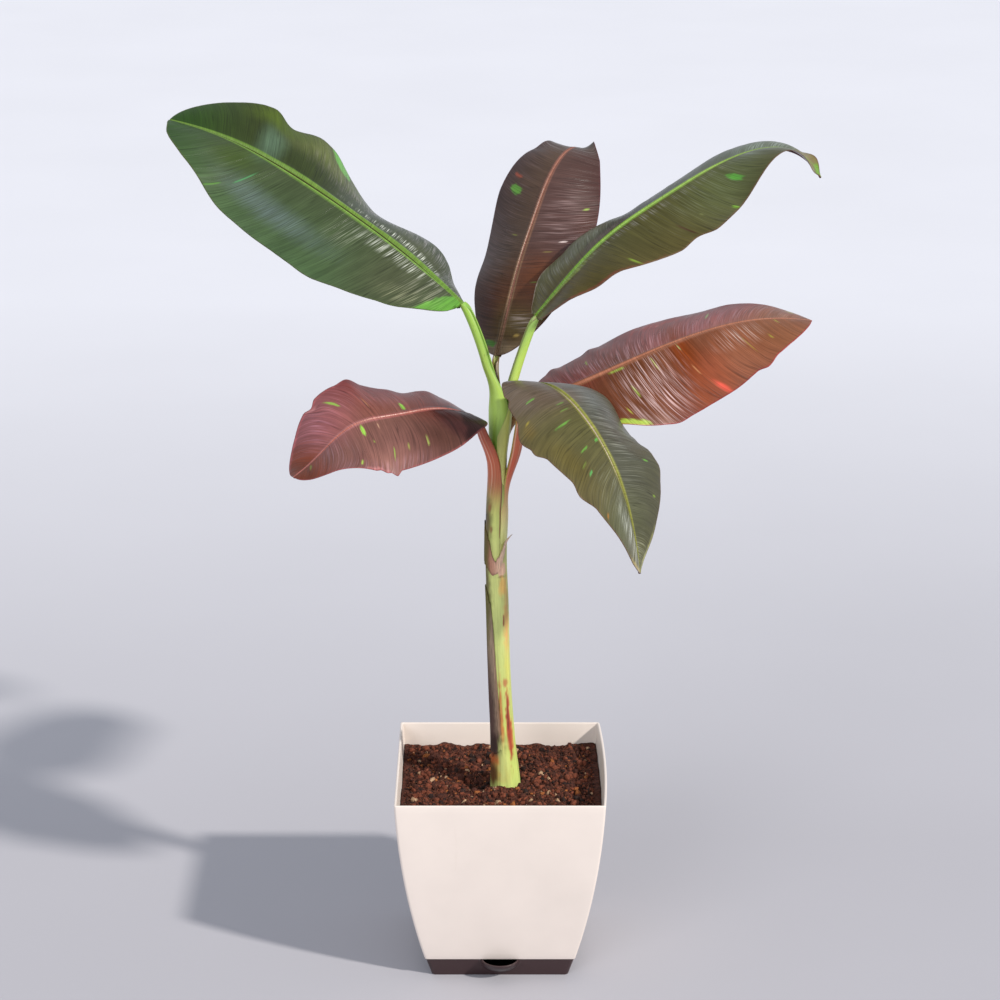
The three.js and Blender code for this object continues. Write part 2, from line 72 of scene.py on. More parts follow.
LEAVES = {
    "upper_left": {
        "root": [-5.5, -3, 690], "lean": [-0.04, 0, 1], "reach": [60, 7], "stalk": [7.2, 6.5, 5.8],
        "base": [-43, 12, 819], "length": 430, "heading": [155, 155], "pitch": [37.2, 29.8, 22.6, 7.6],
        "rib": [5.4, 4.6, 1.2], "half": 98, "widest": 0.45, "blunt": [0.42, 0.75], "sweep": [-10, 25],
        "left": [-7, -28, -40, -44, -18, -4], "right": [-29, -8, -17, 11, 25, 27],
        "lobes": [(1, 0.1, 0.05, -4, -3), (1, 0.55, 0.05, 4, 0), (1, 0.66, 0.07, -12, -6),
                  (-1, 0.12, 0.06, 3, 0), (-1, 0.38, 0.12, 4, 0), (-1, 0.97, 0.04, -4, 0)],
    },
    "upper_right": {
        "root": [6.4, 0, 690], "lean": [0.16, -0.05, 1], "reach": [45, 7], "stalk": [7, 6.3, 5.6],
        "base": [42, -10, 809], "length": 418, "heading": [15, 14], "pitch": [49, 46, 31.5, 27, 4, -59],
        "rib": [4.6, 2.4, 1], "half": 75, "widest": 0.47, "blunt": [0.28, 1], "sweep": [-10, 25],
        "left": [-6, -1, -16, -14, -4, 12], "right": [12, -3, -36, -35, 6, -35],
        "lobes": [(-1, 0.1, 0.09, 2, 9), (-1, 0.38, 0.05, 0, -3), (-1, 0.66, 0.1, 0, 3),
                  (-1, 0.95, 0.05, 3, 8), (1, 0.18, 0.08, 2, -6), (1, 0.47, 0.06, -4, 2)],
    },
    "back": {
        "root": [0, 7, 690], "lean": [-0.1, 0.1, 1], "reach": [25, 18], "stalk": [5.6, 4.4, 4.2],
        "base": [-4, 34, 749], "length": 352, "heading": [64, 60], "pitch": [57, 61, 50, 46, 12, -62],
        "rib": [3.4, 2.2, 1.4], "half": 75, "widest": 0.45, "blunt": [0.62, 1.05], "sweep": [-10, 20],
        "left": [-25, -20, -28, -15, -8, -35], "right": [15, 0, -18, -33, -30, 10],
        "lobes": [(-1, 0.85, 0.08, 3, 13), (1, 0.9, 0.07, -12, 12)],
    },
    "right": {
        "root": [2, 5, 636], "lean": [0.1, 0.02, 1], "reach": [45, 32], "stalk": [5.5, 6, 5.6],
        "base": [53, 24, 700], "length": 334, "heading": [12, 8], "pitch": [20, 22, 13, -9],
        "rib": [4.4, 2.2, 0.8], "half": 95, "widest": 0.42, "blunt": [0.46, 0.86], "sweep": [-20, 25],
        "left": [5, 0, 0, -2, 0, -3], "right": [-55, -27, -48, -43, -29, -8],
        "lobes": [(-1, 0.13, 0.035, 4, 2), (-1, 0.27, 0.035, 4, 2), (-1, 0.86, 0.06, 3, 0),
                  (1, 0.4, 0.05, 2, 0), (1, 0.74, 0.05, 5, 0)],
    },
    "front_left": {
        "root": [-4, -3, 572], "lean": [-0.12, -0.14, 1], "reach": [62, 26], "stalk": [8.5, 7.2, 5],
        "base": [-39, -32, 699], "length": 234, "heading": [203, 211], "pitch": [23, -2, -3, -38, -27],
        "rib": [3, 2, 1], "half": 74, "widest": 0.5, "blunt": [0.45, 0.78], "sweep": [-38, 25],
        "left": [6, -20, -36, -41, -2, -2], "right": [-8, -3, 8, 21, 6, -13],
        "lobes": [(1, 0.22, 0.06, 2, 3), (1, 0.32, 0.06, -4, -3), (1, 0.52, 0.05, 3, 4),
                  (1, 0.67, 0.03, -7, 0), (-1, 0.535, 0.035, 5, 0), (-1, 0.63, 0.04, -3, 0)],
    },
    "front_right": {
        "root": [3, -2, 572], "lean": [0.3, -0.02, 1], "reach": [72, 22], "stalk": [6, 6.6, 5.4],
        "base": [38, -30, 735], "length": 294, "heading": [-57, -21], "pitch": [16, -24, -55, -73, -81],
        "rib": [3.8, 3, 1.2], "half": 86, "widest": 0.4, "blunt": [0.5, 0.88], "sweep": [-15, 25],
        "left": [-14, -17, -22, 2, 6, -10], "right": [14, -2, -7, 7, 13, 12],
        "lobes": [(1, 0.19, 0.025, -4, 0), (1, 0.35, 0.08, 10, -3), (1, 0.41, 0.03, 4, -2),
                  (1, 0.58, 0.055, 9, 0), (-1, 0.4, 0.05, 8, 0), (-1, 0.49, 0.04, -7, 0),
                  (-1, 0.61, 0.05, 4, 0), (-1, 0.8, 0.15, -3, 0)],
    },
}
LEAF_TIP = 1.6            # half width of a blade's blunt tip

# ---------------------------------------------------------------- small helpers


def smooth(values, share):
    """Reads a list at share 0..1, on a smooth curve through its evenly spaced values."""
    values = np.asarray(values, float)
    last = len(values) - 1
    place = np.clip(share, 0, 1) * last
    i = np.minimum(np.floor(place).astype(int), last - 1)
    w = place - i

    def at(k):
        return values[np.clip(k, 0, last)]

    slope_in, slope_out = (at(i + 1) - at(i - 1)) / 2, (at(i + 2) - at(i)) / 2
    rise = at(i + 1) - at(i)
    return (at(i) + slope_in * w + (3 * rise - 2 * slope_in - slope_out) * w**2
            + (slope_in + slope_out - 2 * rise) * w**3)


def lerp(a, b, w):
    return a + (b - a) * w


def ease(low, high, value):
    """0 below low, 1 above high, and a smooth step between."""
    w = np.clip((value - low) / (high - low), 0, 1)
    return w * w * (3 - 2 * w)


def unit(v):
    return v / np.maximum(np.linalg.norm(v, axis=-1, keepdims=True), 1e-9)


def value_noise(x, y, seed):
    """Smooth noise from -1 to 1 with one bump a unit, the same each run."""
    size = 64
    table = np.random.default_rng(seed).uniform(-1, 1, (size, size))
    x, y = np.broadcast_arrays(np.asarray(x, float), np.asarray(y, float))
    i, j = np.floor(x).astype(int), np.floor(y).astype(int)
    u, v = ease(0, 1, x - i), ease(0, 1, y - j)
    low = lerp(table[i % size, j % size], table[(i + 1) % size, j % size], u)
    high = lerp(table[i % size, (j + 1) % size], table[(i + 1) % size, (j + 1) % size], u)
    return lerp(low, high, v)


def colour(code):
    """A linear RGB triple from an 0xRRGGBB screen colour."""
    parts = np.array([(code >> 16) & 255, (code >> 8) & 255, code & 255]) / 255
    return np.where(parts <= 0.04045, parts / 12.92, ((parts + 0.055) / 1.055) ** 2.4)


def graded(codes, share):
    """The colour at share 0..1 along a row of screen colours."""
    tones = np.array([colour(code) for code in codes])
    return np.stack([smooth(tones[:, k], share) for k in range(3)], -1)


def mesh_object(name, points, faces):
    """A smooth-shaded mesh from points in millimetres and a list or array of faces."""
    mesh = bpy.data.meshes.new(name)
    mesh.from_pydata((np.asarray(points) * MM).tolist(), [], [list(f) for f in faces])
    mesh.shade_smooth()
    ob = bpy.data.objects.new(name, mesh)
    bpy.context.scene.collection.objects.link(ob)
    return ob


def grid_faces(rows, columns, closed=False):
    """Quads of a grid of points, row by row. A closed grid joins its last column to its first."""
    across = columns if closed else columns - 1
    i, j = np.meshgrid(np.arange(rows - 1), np.arange(across), indexing="ij")
    k = (j + 1) % columns
    quads = [i * columns + j, i * columns + k, (i + 1) * columns + k, (i + 1) * columns + j]
    return np.stack(quads, -1).reshape(-1, 4)


def loft(name, limbs):
    """One mesh of limbs. Each is an array of rings of equal length, skinned over, with a flat face
    over its first and its last ring."""
    faces, start = [], 0
    for rings in limbs:
        rows, columns = rings.shape[:2]
        first, last = start + np.arange(columns), start + (rows - 1) * columns + np.arange(columns)
        faces += [*(grid_faces(rows, columns, closed=True) + start).tolist(), first[::-1], last]
        start += rows * columns
    return mesh_object(name, np.vstack([rings.reshape(-1, 3) for rings in limbs]), faces)


def slab(name, top, under, turned=False):
    """A closed mesh of two sheets of points with the same rows and columns, joined all round. Its
    faces are turned over where the rows and columns run the other way round."""
    rows, columns = top.shape[:2]
    count = rows * columns
    upper = grid_faces(rows, columns)
    lower = upper[:, ::-1] + count
    edge = np.concatenate([np.arange(columns), np.arange(2, rows + 1) * columns - 1,
                           count - 2 - np.arange(columns - 1), np.arange(rows - 2, 0, -1) * columns])
    following = np.roll(edge, -1)
    rim = np.stack([following, edge, edge + count, following + count], -1)
    faces = np.vstack([upper, lower, rim])
    points = np.vstack([top.reshape(-1, 3), under.reshape(-1, 3)])
    return mesh_object(name, points, faces[:, ::-1] if turned else faces)


def store(ob, name, *sheets):
    """Keeps a colour or a vector for every point of a mesh, which its material reads by name."""
    values = np.vstack([np.reshape(sheet, (-1, 3)) for sheet in sheets])
    if name in COLOURS:
        values = np.hstack([values, np.ones((len(values), 1))])
    kind, field = ("FLOAT_COLOR", "color") if name in COLOURS else ("FLOAT_VECTOR", "vector")
    ob.data.attributes.new(name, kind, "POINT").data.foreach_set(field, values.ravel())


def store_map(ob, u, v):
    """The flat map that the colours of a piece are laid out on, a place for every face corner."""
    layer = ob.data.uv_layers.new(name="OFBake")
    layer.data.foreach_set("uv", np.stack([u, v], -1).ravel())


def inset(share):
    """A share 0..1 of a flat map, kept off its margin."""
    return MAP_EDGE + (1 - 2 * MAP_EDGE) * share


def corners(ob):
    """The point of each face corner."""
    index = np.empty(len(ob.data.loops), int)
    ob.data.loops.foreach_get("vertex_index", index)
    return index


def map_tube(ob, rows, columns):
    """Unrolls a limb of rows and columns. The seam's corners go to the far edge of the map."""
    index = corners(ob)
    i, j = index // columns, index % columns
    sides = (rows - 1) * columns * 4
    quads = j[:sides].reshape(-1, 4)
    seam = (quads == 0) & (quads.max(1, keepdims=True) == columns - 1)
    j[:sides] = np.where(seam, columns, quads).ravel()
    room = np.where(np.arange(len(index)) < sides, 1, 0.01)         # the flat ends need next to none
    store_map(ob, inset(j / columns) * room, inset(i / (rows - 1)) * room)


def patch_cover(at, size, soft, x, y, size_x, size_y):
    """How far a patch covers each point, from 0 to 1. Its edge is ragged by about a millimetre."""
    out_x = np.abs((x - at[0]) * size_x) / size[0]
    out_y = np.abs((y - at[1]) * size_y) / size[1]
    far = (out_x**SQUARISH + out_y**SQUARISH) ** (1 / SQUARISH)
    ragged = value_noise(x * size_x / 2.2, y * size_y / 5.0, 21) * min(0.35, 1.2 / min(size))
    return 1 - ease(1 - soft, 1 + soft, far + ragged)


def tint_patches(base, patches, x, y, size_x=1.0, size_y=1.0):
    """Lays soft or sharp spots of colour over base. x and y are each point's place and size_* turn
    their units into millimetres. A patch is (x, y, half width, half height, colour, softness)."""
    for at_x, at_y, wide, high, code, soft in patches:
        cover = patch_cover((at_x, at_y), (wide, high), soft, x, y, size_x, size_y)
        base = lerp(base, colour(code), cover[..., None])
    return base


# ---------------------------------------------------------------- materials


class Nodes:
    """Short names for the node calls that the materials below repeat."""

    def __init__(self, name, roughness, **constants):
        self.material = bpy.data.materials.new(name)
        self.material.use_nodes = True
        self.tree = self.material.node_tree
        self.shader = self.tree.nodes["Principled BSDF"]
        self.shader.inputs["Roughness"].default_value = roughness
        for socket, value in constants.items():
            self.shader.inputs[socket.replace("_", " ")].default_value = value

    def link(self, value, socket):
        if isinstance(value, bpy.types.NodeSocket):
            self.tree.links.new(value, socket)
        elif socket.type == "RGBA":
            socket.default_value = (*value, 1)
        else:
            socket.default_value = value

    def add(self, kind, output, inputs, **settings):
        """A new node with its settings and inputs. Gives the output that is asked for."""
        node = self.tree.nodes.new(f"ShaderNode{kind}")
        for setting, value in settings.items():
            setattr(node, setting, value)
        for socket, value in inputs.items():
            self.link(value, node.inputs[socket])
        return node.outputs[output]

    def attribute(self, name):
        output = "Color" if name in COLOURS else "Vector"
        return self.add("Attribute", output, {}, attribute_name=name)

    def object_space(self):
        return self.add("TexCoord", "Object", {})

    def noise(self, vector, scale=1.0, detail=2, rough=0.5):
        inputs = {"Vector": vector, "Scale": scale, "Detail": detail, "Roughness": rough}
        return self.add("TexNoise", "Fac", inputs)

    def streaks(self, vector, scales, detail=2, rough=0.6):
        """Noise with its own scale along each axis."""
        stretched = self.add("VectorMath", "Vector", {0: vector, 1: scales}, operation="MULTIPLY")
        return self.noise(stretched, 1.0, detail, rough)

    def span(self, value, low, high, from_low=0.3, from_high=0.7):
        inputs = {"From Min": from_low, "From Max": from_high, "To Min": low, "To Max": high}
        return self.add("MapRange", "Result", {"Value": value, **inputs})

    def mix(self, kind, share, a, b):
        inputs = {"Factor": share, 6: a, 7: b}
        return self.add("Mix", 2, inputs, data_type="RGBA", blend_type=kind)

    def math(self, kind, a, b):
        return self.add("Math", "Value", {0: a, 1: b}, operation=kind)

    def axis(self, vector, name):
        return self.add("SeparateXYZ", name, {"Vector": vector})

    def dim(self, tone, value):
        """The colour times a grey value."""
        return self.add("VectorMath", "Vector", {0: tone, "Scale": value}, operation="SCALE")

    def bump(self, height, distance, strength=1.0):
        """A fine relief of `distance` mm, on top of the ones before."""
        inputs = {"Strength": strength, "Distance": distance * MM, "Height": height}
        normal = self.shader.inputs["Normal"]
        if normal.is_linked:
            inputs["Normal"] = normal.links[0].from_socket
        self.link(self.add("Bump", "Normal", inputs), normal)

    def finish(self, tone, roughness=None):
        self.link(tone, self.shader.inputs["Base Color"])
        if roughness is not None:
            self.link(roughness, self.shader.inputs["Roughness"])
        return self.material


VEIN_PITCH, VEIN_SWAY = 1.7, 22     # half the gap of the finest side veins and how far they stray, mm
BROWN = (0.42, 0.26, 0.16)          # what a spot leaves of the colour under it


def blade_material():
    """Waxy leaf skin. Blade holds where a point's side vein leaves the midrib and how far out the
    point lies, in mm, so that whatever is stretched along its second axis follows the veins."""
    n = Nodes("leaf_skin", 0.3, Specular_IOR_Level=0.22)
    place = n.attribute("Blade")
    sway = n.streaks(place, (0.09, 0.005, 1))
    along = n.math("ADD", n.axis(place, "X"), n.math("MULTIPLY", sway, VEIN_SWAY))
    groove = n.span(n.math("PINGPONG", along, VEIN_PITCH), 1, 0, 0.1, 0.6)
    worn = n.streaks(place, (0.16, 0.012, 1))
    groove = n.math("MULTIPLY", groove, n.span(worn, 0, 1, 0.38, 0.6))
    fine = n.streaks(place, (1.1, 0.02, 1))
    bands = n.streaks(place, (0.16, 0.008, 1))
    clouds = n.streaks(place, (0.05, 0.03, 1), 3)
    sheen_streaks = n.span(n.streaks(place, (0.8, 0.022, 1), 1), 0, 1.3, 0.48, 0.68)
    tone = n.attribute("Tint")
    for pattern, reach in ((fine, 0.16), (bands, 0.16), (clouds, 0.1)):
        tone = n.dim(tone, n.span(pattern, 1 - reach, 1 + reach))
    # the colour added here in streaks is a painted highlight and sheen
    tone = n.mix("ADD", 1.0, tone, n.dim(n.attribute("PaintedSheen"), sheen_streaks))
    tone = n.dim(tone, n.span(groove, 1.04, 0.6, 0, 1))
    n.bump(groove, -0.25, 0.5)
    n.bump(bands, 0.5, 0.5)
    return n.finish(tone, n.span(clouds, 0.26, 0.38))


def skin_material(name, roughness):
    """Smooth plant skin with fine lines that run along the limb and a few brown spots."""
    n = Nodes(name, roughness)
    place = n.attribute("Skin")
    lines = n.streaks(place, (0.35, 0.02, 1), 3)
    spots = n.streaks(place, (0.5, 0.2, 1), 4, 0.65)
    tone = n.dim(n.attribute("Tint"), n.span(lines, 0.86, 1.12))
    tone = n.mix("MULTIPLY", n.span(spots, 0, 0.5, 0.62, 0.75), tone, BROWN)
    n.bump(lines, 0.35, 0.5)
    return n.finish(tone, n.span(spots, roughness - 0.06, roughness + 0.08))


def dry_material():
    """Papery old sheath with fibres along the trunk."""
    n = Nodes("dry_sheath", 0.85)
    fibres = n.streaks(n.attribute("Skin"), (1.3, 0.06, 1), 3, 0.7)
    tone = n.dim(n.attribute("Tint"), n.span(fibres, 0.62, 1.25))
    n.bump(fibres, 0.6, 0.8)
    return n.finish(tone)


def plastic_material(name, code, roughness, scuff):
    """Moulded plastic: an even colour, a faint sandy grain and a few dull scuffs."""
    n = Nodes(name, roughness, IOR=1.46)
    place = n.object_space()
    cloud = n.noise(place, 14, 3)
    grain = n.noise(place, 900, 2)
    marks = n.streaks(place, (60, 60, 9), 4, 0.7)
    tone = n.dim(colour(code), n.span(cloud, 0.97, 1.03))
    tone = n.mix("MIX", n.span(marks, 0, 0.35, 0.66, 0.8), tone, colour(scuff))
    n.bump(grain, 0.06, 0.25)
    return n.finish(tone, n.span(marks, roughness - 0.04, roughness + 0.12, 0.4, 0.75))


def soil_material(name, dark, light, scale=420):
    """Damp coir: crumbs and fibres, rough all over."""
    n = Nodes(name, 0.92, Specular_IOR_Level=0.25)
    place = n.object_space()
    crumbs = n.noise(place, scale, 5, 0.7)
    clods = n.noise(place, 60, 3)
    tone = n.mix("MIX", n.span(crumbs, 0, 1, 0.32, 0.68), colour(dark), colour(light))
    tone = n.dim(tone, n.span(clods, 0.75, 1.25))
    n.bump(crumbs, 1.4, 0.9)
    return n.finish(tone)


def floor_material():
    """Pale grey, a little lighter towards the back."""
    n = Nodes("studio_floor", 0.62, Specular_IOR_Level=0.2)
    place = n.object_space()
    back = n.span(n.axis(place, "Y"), 0, 1, 0.3, 3.0)
    tone = n.mix("MIX", back, (0.40, 0.395, 0.435), (0.62, 0.63, 0.69))
    tone = n.dim(tone, n.span(n.noise(place, 1.6, 3), 0.985, 1.015))
    return n.finish(tone)


def finish_piece(ob, slot, *materials, node=None):
    """The piece takes its materials, rides with the plant and stands for its CAD node, if any."""
    for material in materials:
        ob.data.materials.append(material)
    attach(ob, "root")
    if node:
        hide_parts(node)


# ---------------------------------------------------------------- leaf blades

STEPS = 260               # cross lines along a blade
RIB_COLUMNS = 7           # columns from the middle of the midrib to its edge
BLADE_COLUMNS = 34        # columns from the midrib to the margin
THICK = 0.75              # of a blade beside its midrib; its margin is half of it
RIB_MARKS = 400           # strides that a midrib is walked in
UNDER_SHIFT = 40          # between the patterns of a blade's two faces
FOLD = 0.34               # height of the folds along the side veins
GROOVE, LIP, KEEL = 0.5, 0.32, 1.15         # of the midrib, in units of its half width
VEIN_LEAN, VEIN_BEND = 0.16, 0.14           # how far a side vein runs on, in half widths of the blade

# The colours of each blade. `left` and `right` are the halves, from the midrib to the margin.
# `rib` runs from the base to the tip and `lines` lie along it: (place across it from -1 at its left
# edge to 1, half width, colour). Washes are (share along, place across, half length, half width in
# mm, colour, softness); a few of them are painted sheen and painted shadow, as marked beside them.
# Flecks are the small bright or browned spots, the same way, aligned with the side veins. The last
# list holds painted highlights and sheen between the veins, the same way, with their strength last.
TINTS = {
    "upper_left": {
        "left": (0x38432a, 0x3e5434), "right": (0x283213, 0x2c3512), "tip": 0x223e0e,
        "rib": (0x5f8232, 0x5a7a30), "edge": 0x44502a, "under": (0x5a2c2c, 0x4b332a),
        "lines": [(-0.5, 0.42, 0x8aa858), (0.14, 0.34, 0x2c2c0c), (0.66, 0.3, 0x607c32)],
        # the bluish-grey wash at share 0.57 on the left half is painted sheen
        "washes": [(0.16, -0.5, 50, 66, 0x3e442e, 0.9), (0.57, -0.6, 66, 12, 0x48564c, 0.9),
                   (0.74, -0.3, 24, 24, 0x36461e, 0.9), (0.55, 0.8, 42, 24, 0x50582c, 0.9),
                   (0.69, 0.3, 14, 26, 0x465a46, 0.9), (0.2, 0.4, 30, 14, 0x3c4228, 0.9),
                   (0.7, 0.85, 30, 14, 0x405014, 0.9)],
        "painted_sheens": [(0.22, -0.17, 44, 7, 0xdfe2da, 0.5), (0.37, -0.35, 16, 12, 0xc8cbb8, 0.18),
                   (0.1, -0.45, 20, 22, 0xb9b6a6, 0.2), (0.24, 0.2, 60, 6, 0xe8ece4, 0.5),
                   (0.24, 0.7, 60, 16, 0x9a949c, 0.4), (0.46, 0.55, 44, 16, 0x8a7c88, 0.3),
                   (0.55, -0.6, 70, 14, 0x70808c, 0.14), (0.13, -0.75, 24, 10, 0xa0a080, 0.3)],
        "flecks": [(0.04, -0.95, 15, 34, 0x50822f, 0.1), (0.525, 0.94, 15, 13, 0x5c9440, 0.15),
                   (0.668, -0.46, 0.8, 13, 0x4a8454, 0.5), (0.712, -0.9, 1.0, 9, 0x4c7a2c, 0.5)],
    },
    "upper_right": {
        "left": (0x26281a, 0x40472f), "right": (0x42401e, 0x443e1e), "tip": 0x4c5028,
        "rib": (0x6c9428, 0x748c40), "edge": 0x5e4630, "under": (0x5e3030, 0x4b372a),
        "lines": [(-0.2, 0.4, 0x8fae5c)],
        "washes": [(0.1, -0.4, 50, 40, 0x51501f, 0.9), (0.24, -0.7, 40, 22, 0x646a58, 0.9),
                   (0.26, -0.15, 40, 8, 0x50463e, 0.9), (0.1, 0.5, 50, 60, 0x443a0a, 0.9),
                   (0.08, 0.14, 46, 5, 0x788c26, 0.7), (0.64, 0.5, 50, 40, 0x4a502e, 0.9),
                   (0.01, 0.5, 10, 24, 0x58600e, 0.9), (0.58, -0.5, 40, 30, 0x484e38, 0.9),
                   (0.14, 1.0, 70, 3.5, 0x683425, 0.7), (0.04, -1.0, 30, 3, 0xb0a092, 0.6),
                   (0.78, -0.3, 34, 34, 0x4e5840, 0.9), (0.93, 0.2, 14, 30, 0x72663c, 0.8)],
        "painted_sheens": [(0.22, -0.6, 60, 14, 0x9a9aa0, 0.25), (0.8, -0.2, 30, 30, 0xa4b0b2, 0.35),
                   (0.3, 0.14, 120, 4, 0x8c8a94, 0.3), (0.58, 0.4, 60, 24, 0x8c9484, 0.12)],
        "flecks": [(0.652, 0.53, 4, 9, 0x4f8c34, 0.3), (0.598, 0.96, 1.6, 6, 0x6c982c, 0.4),
                   (0.462, 0.78, 0.8, 11, 0x3a1f12, 0.4), (0.975, 0.3, 7, 12, 0x5f8a20, 0.5),
                   (0.3, 0.93, 0.9, 9, 0x6c842c, 0.5), (0.52, 0.66, 0.7, 3, 0x98a060, 0.4)],
    },
    "back": {
        "left": (0x4a392d, 0x3c2b29), "right": (0x46332f, 0x3c2421), "tip": 0x402f2b,
        "rib": (0x6e5640, 0x704a40), "edge": 0x4a282a, "under": (0x52202a, 0x482830),
        "lines": [(-0.1, 0.4, 0x906050)],
        "washes": [(0.14, -0.6, 40, 40, 0x3c2218, 0.9), (0.13, 0.5, 26, 34, 0x544526, 0.9),
                   (0.27, 0.6, 30, 44, 0x542e18, 0.9), (0.57, 0.3, 40, 20, 0x483330, 0.9),
                   (0.03, 0.5, 8, 30, 0x6a5a46, 0.9),
                   (0.9, -0.3, 16, 40, 0x46423e, 0.9), (0.52, 0.85, 20, 10, 0x3c221c, 0.9)],
        "painted_sheens": [(0.45, -0.6, 90, 20, 0x807078, 0.14), (0.52, 0.55, 34, 24, 0xb09a9a, 0.28),
                   (0.13, 0.48, 8, 14, 0xc8b8b4, 0.4), (0.84, -0.3, 14, 34, 0xa8a4a4, 0.25)],
        "flecks": [(0.588, -0.59, 5, 9, 0x50802f, 0.3), (0.64, -0.69, 2.2, 6, 0x80402f, 0.6),
                   (0.568, 0.78, 1.4, 2.8, 0x7a9434, 0.3), (0.05, -0.62, 3.4, 10, 0x3f6a24, 0.3),
                   (0.082, 0.58, 2, 3, 0x907840, 0.5), (0.43, -0.29, 0.8, 4, 0x6a6a2c, 0.5),
                   (0.38, 0.4, 0.7, 5, 0x6e6038, 0.5), (0.27, 0.45, 0.8, 7, 0x5a642a, 0.5),
                   (0.43, 0.58, 0.8, 4, 0xd0c0bc, 0.5)],
    },
    "right": {
        "left": (0x8c5452, 0x6e2b2a), "right": (0x6c422f, 0x6e3a2c), "tip": 0x704634,
        "rib": (0x7c4a30, 0x845646), "edge": 0x8c3236, "under": (0x5a2029, 0x4e242c),
        "lines": [(-0.55, 0.35, 0x9c6650), (0.6, 0.35, 0xa07c68)],
        "washes": [(0.12, -0.5, 44, 50, 0x662a22, 0.9), (0.3, 0.5, 30, 80, 0x5c3420, 0.9),
                   (0.505, 0.5, 13, 90, 0x733412, 0.9), (0.6, 0.75, 28, 34, 0x88442a, 0.9),
                   (0.68, 0.55, 24, 44, 0x82503a, 0.9), (0.85, 0.4, 34, 60, 0x784c34, 0.9),
                   (0.48, -0.85, 26, 12, 0x8c3024, 0.9), (0.62, -0.9, 40, 8, 0x6c2624, 0.8)],
        "painted_sheens": [(0.37, 0.5, 28, 44, 0xe0ccd0, 0.48), (0.7, 0.28, 22, 12, 0xe0d6d2, 0.34),
                   (0.45, -0.3, 110, 22, 0xb8a0b0, 0.2), (0.27, -0.3, 40, 22, 0xa08c98, 0.16),
                   (0.9, -0.15, 14, 8, 0xb0a090, 0.2), (0.75, -0.6, 40, 14, 0x9c8490, 0.14)],
        "flecks": [(0.218, -0.54, 0.9, 7, 0x80903c, 0.4), (0.268, 0.07, 9, 1.8, 0x84983a, 0.4),
                   (0.402, 0.19, 0.8, 8, 0x849038, 0.4), (0.308, 0.5, 0.9, 8, 0x8a9c40, 0.4),
                   (0.268, 0.78, 0.9, 4, 0x94963c, 0.4), (0.272, 0.96, 14, 4, 0x90a83c, 0.2),
                   (0.718, 0.48, 0.7, 10, 0xa08038, 0.5), (0.57, 0.86, 3, 9, 0xc85040, 0.8),
                   (0.633, -0.54, 1.0, 8, 0x8aa068, 0.5), (0.91, -0.8, 6, 2.5, 0x8c8c4c, 0.5),
                   (0.8, 0.55, 0.7, 4, 0x948a38, 0.5), (0.86, 0.15, 0.8, 4, 0x948c3c, 0.5),
                   (0.5, 0.1, 0.8, 4, 0x9aa068, 0.5), (0.52, 0.5, 0.6, 7, 0xb07850, 0.5),
                   (0.478, -0.71, 1.4, 3, 0xa8605a, 0.6)],
    },
    "front_left": {
        "left": (0x69463e, 0x6b4743), "right": (0x74483f, 0x642a2c), "tip": 0x6a321c,
        "rib": (0x8a4a44, 0x906060), "edge": 0x844444, "under": (0x5a2029, 0x4e242c),
        "lines": [(-0.4, 0.4, 0xa87e80), (0.5, 0.3, 0x945448)],
        # the dark washes at share 0.28 and 0.09 on the left half are a painted shadow over the blade's
        # base
        "washes": [(0.28, -0.7, 22, 34, 0x4c2e26, 0.9), (0.14, 0.3, 30, 40, 0x582620, 0.9),
                   (0.09, -0.62, 35, 44, 0x3a1d1b, 0.2),
                   (0.7, 0.6, 26, 40, 0x865052, 0.9), (0.9, 0.1, 16, 60, 0x74341f, 0.9),
                   (0.93, -0.5, 12, 40, 0x602a14, 0.9), (0.55, -0.8, 20, 16, 0x7c544c, 0.9),
                   (0.75, 1.0, 36, 3.5, 0xa85a5c, 0.8), (0.64, -1.0, 12, 4, 0xa87070, 0.8)],
        "painted_sheens": [(0.6, -0.9, 40, 8, 0x9c8090, 0.25), (0.77, -0.35, 20, 22, 0x9c8698, 0.16),
                   (0.5, 0.6, 50, 16, 0x94707e, 0.2), (0.76, 0.6, 20, 20, 0x9a7488, 0.25)],
        "flecks": [(0.618, 0.64, 1.2, 9, 0x80a840, 0.3), (0.338, 0.23, 2.2, 7, 0x80b040, 0.3),
                   (0.585, -0.16, 1.7, 6, 0x84b044, 0.3), (0.498, -0.69, 0.6, 6, 0x8cac48, 0.4),
                   (0.565, -0.4, 0.9, 1.4, 0x909848, 0.4), (0.698, -0.82, 0.9, 4, 0x90a848, 0.4),
                   (0.43, -0.65, 0.6, 5, 0x8c8c48, 0.4), (0.348, -0.65, 0.6, 7, 0x8c944c, 0.4),
                   (0.898, -0.26, 1.5, 5, 0x6a6a28, 0.4), (0.678, 0.94, 3, 4, 0xb07474, 0.7),
                   (0.5, 0.35, 0.6, 7, 0x986c50, 0.5), (0.5, -0.15, 0.6, 3, 0xa08068, 0.5)],
    },
    "front_right": {
        "left": (0x45463a, 0x413f28), "right": (0x4c4a2a, 0x4e472a), "tip": 0x4c4c22,
        "rib": (0x66662c, 0x787444), "edge": 0x5a4634, "under": (0x5a2c2c, 0x4b2f2a),
        "lines": [(-0.75, 0.3, 0x80823a), (0.1, 0.5, 0xa49488), (0.85, 0.2, 0x707030)],
        "washes": [(0.12, 0.6, 40, 60, 0x564a3e, 0.9), (0.21, 0.4, 14, 60, 0x54483c, 0.9),
                   (0.33, 0.85, 6, 6, 0x584c26, 0.9), (0.34, -0.6, 45, 24, 0x4e524e, 0.9),
                   (0.74, 0.5, 24, 50, 0x4c4e34, 0.9), (0.48, 0.75, 22, 14, 0x524a24, 0.9),
